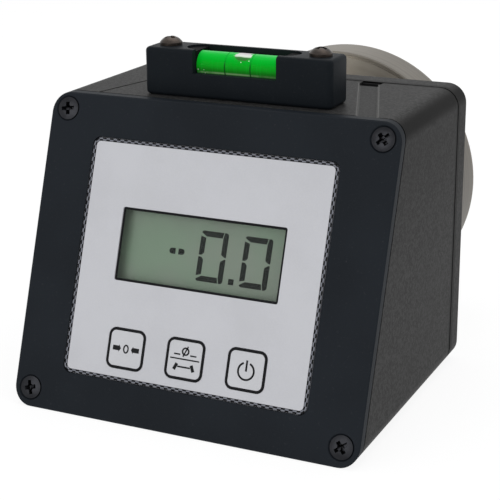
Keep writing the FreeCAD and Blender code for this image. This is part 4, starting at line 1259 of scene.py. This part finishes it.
spring_low, spring_high = [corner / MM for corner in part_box("pin_spring")]
spring_length = spring_high.y - spring_low.y
spring_foot = (0.0, (spring_low.y + WIRE_RADIUS) * MM, AXIS_HEIGHT)
spring_place = Matrix.Translation(spring_foot) @ BACKWARD
spring = grow("pin_spring_coil", spring_tree, {
    "Coil Radius": (spring_high.x - spring_low.x) / 2 - WIRE_RADIUS,
    "Length": spring_length - 2 * WIRE_RADIUS, "Finish": spring_steel}, spring_place, [(0, 0, 0)])
settle(sharp_shaded(facing_out(spring)), "housing", ["pin_spring"])
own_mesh(spring)
print("spring is", round(spring_length, 1), "mm long at rest")

# %% [markdown]
# ## The level's body
# The body is a black bar with round uprights and rims, which shows at its silhouette. A bar is
# bevelled in two passes, first the uprights, then both rims. A round-ended cutter then takes out
# the slot for the vial and a block takes out the window. The cuts could be modelled by hand, but a
# Boolean keeps the edges true.

# %% Shape the bar
BODY_UPRIGHT_R = 1.6
BODY_RIM_R = 1.1
BODY_WINDOW = (-10.4, 12.6)
BODY_SILL = 6.2
BODY_SLOT = (-14.2, 16.9)
BODY_SLOT_HALF = 3.6
BODY_SLOT_FLOOR = 4.0
CLEAR = 1.0
ROUND = 0.5
body_low, body_high = [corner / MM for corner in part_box("level_block")]
body_middle = (body_low + body_high) / 2
body_size = body_high - body_low


def stands(edge):
    """True for an edge that runs up the bar"""
    return abs(edge.verts[0].co.z - edge.verts[1].co.z) > body_size.z / 2


bar = bmesh.new()
bmesh.ops.create_cube(bar, size=1.0)
bar.transform(Matrix.Translation(body_middle) @ Matrix.Diagonal((*body_size, 1.0)))
uprights = [edge for edge in bar.edges if stands(edge)]
bmesh.ops.bevel(bar, geom=uprights, offset=BODY_UPRIGHT_R, segments=7, profile=ROUND, affect="EDGES")
rims = [edge for edge in bar.edges if not stands(edge)]
bmesh.ops.bevel(bar, geom=rims, offset=BODY_RIM_R, segments=6, profile=ROUND, affect="EDGES")
level_body = closed_piece("level_body", bar, TO_METRES, level_coat)
print("bar has", len(level_body.data.polygons), "faces before it is cut")

# %% Cut the slot and the window
slot_ends = (BODY_SLOT[0] + BODY_SLOT_HALF, BODY_SLOT[1] - BODY_SLOT_HALF)
slot_line = arc((slot_ends[1], body_middle.y), BODY_SLOT_HALF, -90, 90)
slot_line += arc((slot_ends[0], body_middle.y), BODY_SLOT_HALF, 90, 270)
window_line = [(BODY_WINDOW[0], body_low.y - CLEAR), (BODY_WINDOW[1], body_low.y - CLEAR),
               (BODY_WINDOW[1], body_middle.y), (BODY_WINDOW[0], body_middle.y)]
for outline, floor in ((slot_line, BODY_SLOT_FLOOR), (window_line, BODY_SILL)):
    drawing = bmesh.new()
    add_plate(drawing, outline, body_low.z + floor, body_high.z + CLEAR)
    cutter = closed_piece("level_cutter", drawing, TO_METRES, level_coat)
    cut = level_body.modifiers.new("cut", "BOOLEAN")
    cut.operation = "DIFFERENCE"
    cut.solver = "EXACT"
    cut.object = cutter
    cut_body = level_body.evaluated_get(bpy.context.evaluated_depsgraph_get())
    carved = bpy.data.meshes.new_from_object(cut_body)
    level_body.modifiers.remove(cut)
    bpy.data.objects.remove(cutter)
    level_body.data = carved
settle(sharp_shaded(level_body), "housing", ["level_block"])

# %% [markdown]
# ## Rings and bubble of the vial
# Two rings on the barrel mark where the bubble rests when the gauge is level. They are turned
# about the barrel's own axis, so each one is a short closed tube. The barrel magnifies the bubble
# right up to its skin, so the bubble is a thin closed lens that hugs the top of the barrel: a
# round drawing whose radius is wrapped along and around it. Small pale lenses beside it and in the
# corner of the vial are painted glints.

# %% Shapes about the barrel
LENS_EDGE_SINK = 0.01
VIAL_RADIUS = (vial_high.z - vial_low.z) / 2 / MM
BARREL_Y = (vial_low.y + vial_high.y) / 2 / MM
BARREL_Z = (vial_low.z + vial_high.z) / 2 / MM


def on_barrel(x, angle, reach):
    """Point at a distance from the barrel's axis; an angle of 0 faces the panel, 90 is the top"""
    turn = math.radians(angle)
    return (x, BARREL_Y - reach * math.cos(turn), BARREL_Z + reach * math.sin(turn))


def ring_about_barrel(name, profile, finish, steps=64):
    """Closed ring swept about the barrel from (x, radius) points in millimetres"""
    shape = bmesh.new()
    loops = [[shape.verts.new(on_barrel(x, 360 * step / steps, r)) for x, r in profile]
             for step in range(steps)]
    for step in range(steps):
        here = loops[step]
        after = loops[(step + 1) % steps]
        for index in range(len(profile)):
            beside = (index + 1) % len(profile)
            shape.faces.new((here[index], here[beside], after[beside], after[index]))
    return closed_piece(name, shape, TO_METRES, finish)


def add_lens(shape, x, angle, half_length, half_angle, rise, sink, rings=8, steps=40, fullness=1.0):
    """Round lens on the barrel's skin, thickest in the middle and sharp at its edge"""
    edge_reach = VIAL_RADIUS - LENS_EDGE_SINK
    outer = {}
    inner = {}
    for ring in range(1, rings + 1):
        share = ring / rings
        for step in range(steps):
            turn = 2 * math.pi * step / steps
            along, around = [math.copysign(abs(part) ** fullness, part)
                             for part in (math.cos(turn), math.sin(turn))]
            place = (x + half_length * share * along, angle + half_angle * share * around)
            swell = 1 - share ** 2
            outer[ring, step] = shape.verts.new(on_barrel(*place, edge_reach + rise * swell))
            inner[ring, step] = outer[ring, step] if ring == rings else shape.verts.new(
                on_barrel(*place, edge_reach - sink * swell))
    poles = [shape.verts.new(on_barrel(x, angle, edge_reach + rise)),
             shape.verts.new(on_barrel(x, angle, edge_reach - sink))]
    for side, pole in zip((outer, inner), poles):
        for step in range(steps):
            after = (step + 1) % steps
            shape.faces.new((pole, side[1, step], side[1, after]))
            for ring in range(1, rings):
                shape.faces.new((side[ring, step], side[ring + 1, step], side[ring + 1, after],
                                 side[ring, after]))


# %% Rings, bubble and specks
RING_PLACES = (-2.45, 4.6)
RING_WIDTH = 0.36
RING_INNER = VIAL_RADIUS - 0.05
RING_OUTER = VIAL_RADIUS + 0.02
BUBBLE_PLACE = (1.85, 90.0)
BUBBLE_HALF = (2.85, 66.0)
BUBBLE_RISE = 0.04
BUBBLE_SINK = 0.3
BUBBLE_FULLNESS = 0.6
SPECKS = [(1.9, 30.0, 0.16), (4.0, 38.0, 0.15), (-9.9, -14.0, 0.2), (-8.3, -14.0, 0.12),
          (-8.1, -30.0, 0.13)]
SPECK_RISE = 0.05
LENS_SHARP = 60.0

for index, ring_x in enumerate(RING_PLACES):
    start = ring_x - RING_WIDTH / 2
    end = ring_x + RING_WIDTH / 2
    profile = [(start, RING_INNER), (end, RING_INNER), (end, RING_OUTER), (start, RING_OUTER)]
    ring = ring_about_barrel("vial_ring_%d" % (index + 1), profile, ring_ink)
    settle(ring, "housing")

drop = bmesh.new()
add_lens(drop, *BUBBLE_PLACE, *BUBBLE_HALF, BUBBLE_RISE, BUBBLE_SINK, fullness=BUBBLE_FULLNESS)
bubble = closed_piece("vial_bubble", drop, TO_METRES, bubble_skin)
settle(sharp_shaded(bubble, LENS_SHARP), "housing")

# Painted glints: tiny pale lenses on the barrel's skin
painted_glint = moulded("painted_glint", (222, 236, 218), -12, 1800.0, 0.002, 0.2)
specks = bmesh.new()
for speck_x, angle, size in SPECKS:
    half_angle = math.degrees(size / VIAL_RADIUS)
    add_lens(specks, speck_x, angle, size, half_angle, SPECK_RISE, SPECK_RISE, rings=3, steps=16)
glint_piece = closed_piece("vial_painted_glints", specks, TO_METRES, painted_glint)
settle(sharp_shaded(glint_piece, LENS_SHARP), "housing")

# %% [markdown]
# ## The studio
# The photograph shows the gauge on white with soft light from above. The floor is a pale
# plane that keeps the gauge's shadow. The world is white to the camera, to reflections and to
# anything seen through a clear piece, and dimmer for lighting, so the lamps can shape the form.

# %% Pale floor
def sees_backdrop(graph):
    """1 for rays that look at the surroundings, 0 for rays that only carry light"""
    rays = graph.node("ShaderNodeLightPath", output="Is Camera Ray")
    return rays.larger(rays.other("Is Glossy Ray")).larger(rays.other("Is Transmission Ray"))


FLOOR_HALF = 6.0
FLOOR_GAP = 0.0001
FLOOR_GLOW = 1.08
WHITENING = 0.82
WHITE = (1, 1, 1, 1)

floor_finish, graph = new_finish("studio_floor")
grain = graph.noise(3.0, 2.0)
paper = graph.node("ShaderNodeBsdfDiffuse", values={
    "Color": graph.blend(grain, tone(236, 236, 237), tone(241, 241, 242))})
glow = graph.node("ShaderNodeEmission", values={"Color": WHITE, "Strength": FLOOR_GLOW})
mixed = graph.node("ShaderNodeMixShader", values={0: WHITENING * sees_backdrop(graph), 1: paper, 2: glow})
graph.node("ShaderNodeOutputMaterial", values={"Surface": mixed})

floor_mesh = bpy.data.meshes.new("studio_floor")
floor_height = cad_box[0][2] - FLOOR_GAP
corners = [(FLOOR_HALF * across, FLOOR_HALF * away, floor_height)
           for across, away in ((-1, -1), (1, -1), (1, 1), (-1, 1))]
floor_mesh.from_pydata(corners, [], [(0, 1, 2, 3)])
floor_mesh.materials.append(floor_finish)
floor = bpy.data.objects.new("studio_floor", floor_mesh)
scene.collection.objects.link(floor)
print("floor lies", FLOOR_GAP / MM, "mm under the gauge")

# %% White world
FILL_LEVEL = 0.5

world = bpy.data.worlds.new("studio_world")
world.use_nodes = True
world.node_tree.nodes.clear()
scene.world = world
graph = Graph(world.node_tree)
seen = sees_backdrop(graph)
sky = graph.node("ShaderNodeBackground", values={
    "Color": WHITE, "Strength": FILL_LEVEL + (1 - FILL_LEVEL) * seen})
graph.node("ShaderNodeOutputWorld", values={"Surface": sky})


# %% Lamps
AIM = Vector((0.0, 0.02, 0.045))


def soft_lamp(name, place, width, watts):
    """Square soft box that faces the middle of the gauge"""
    lamp = bpy.data.objects.new(name, bpy.data.lights.new(name, "AREA"))
    lamp.data.shape = "SQUARE"
    lamp.data.size = width
    lamp.data.energy = watts
    lamp.location = place
    lamp.rotation_mode = "QUATERNION"
    lamp.rotation_quaternion = (AIM - Vector(place)).to_track_quat("-Z", "Y")
    scene.collection.objects.link(lamp)


soft_lamp("overhead_box", (0.0, 0.3, 1.0), 0.9, 3.6)
soft_lamp("front_box", (-0.3, -1.0, 0.4), 0.7, 3.0)
soft_lamp("side_box", (0.95, -0.15, 0.45), 0.6, 1.8)
scene.view_settings.view_transform = "Standard"
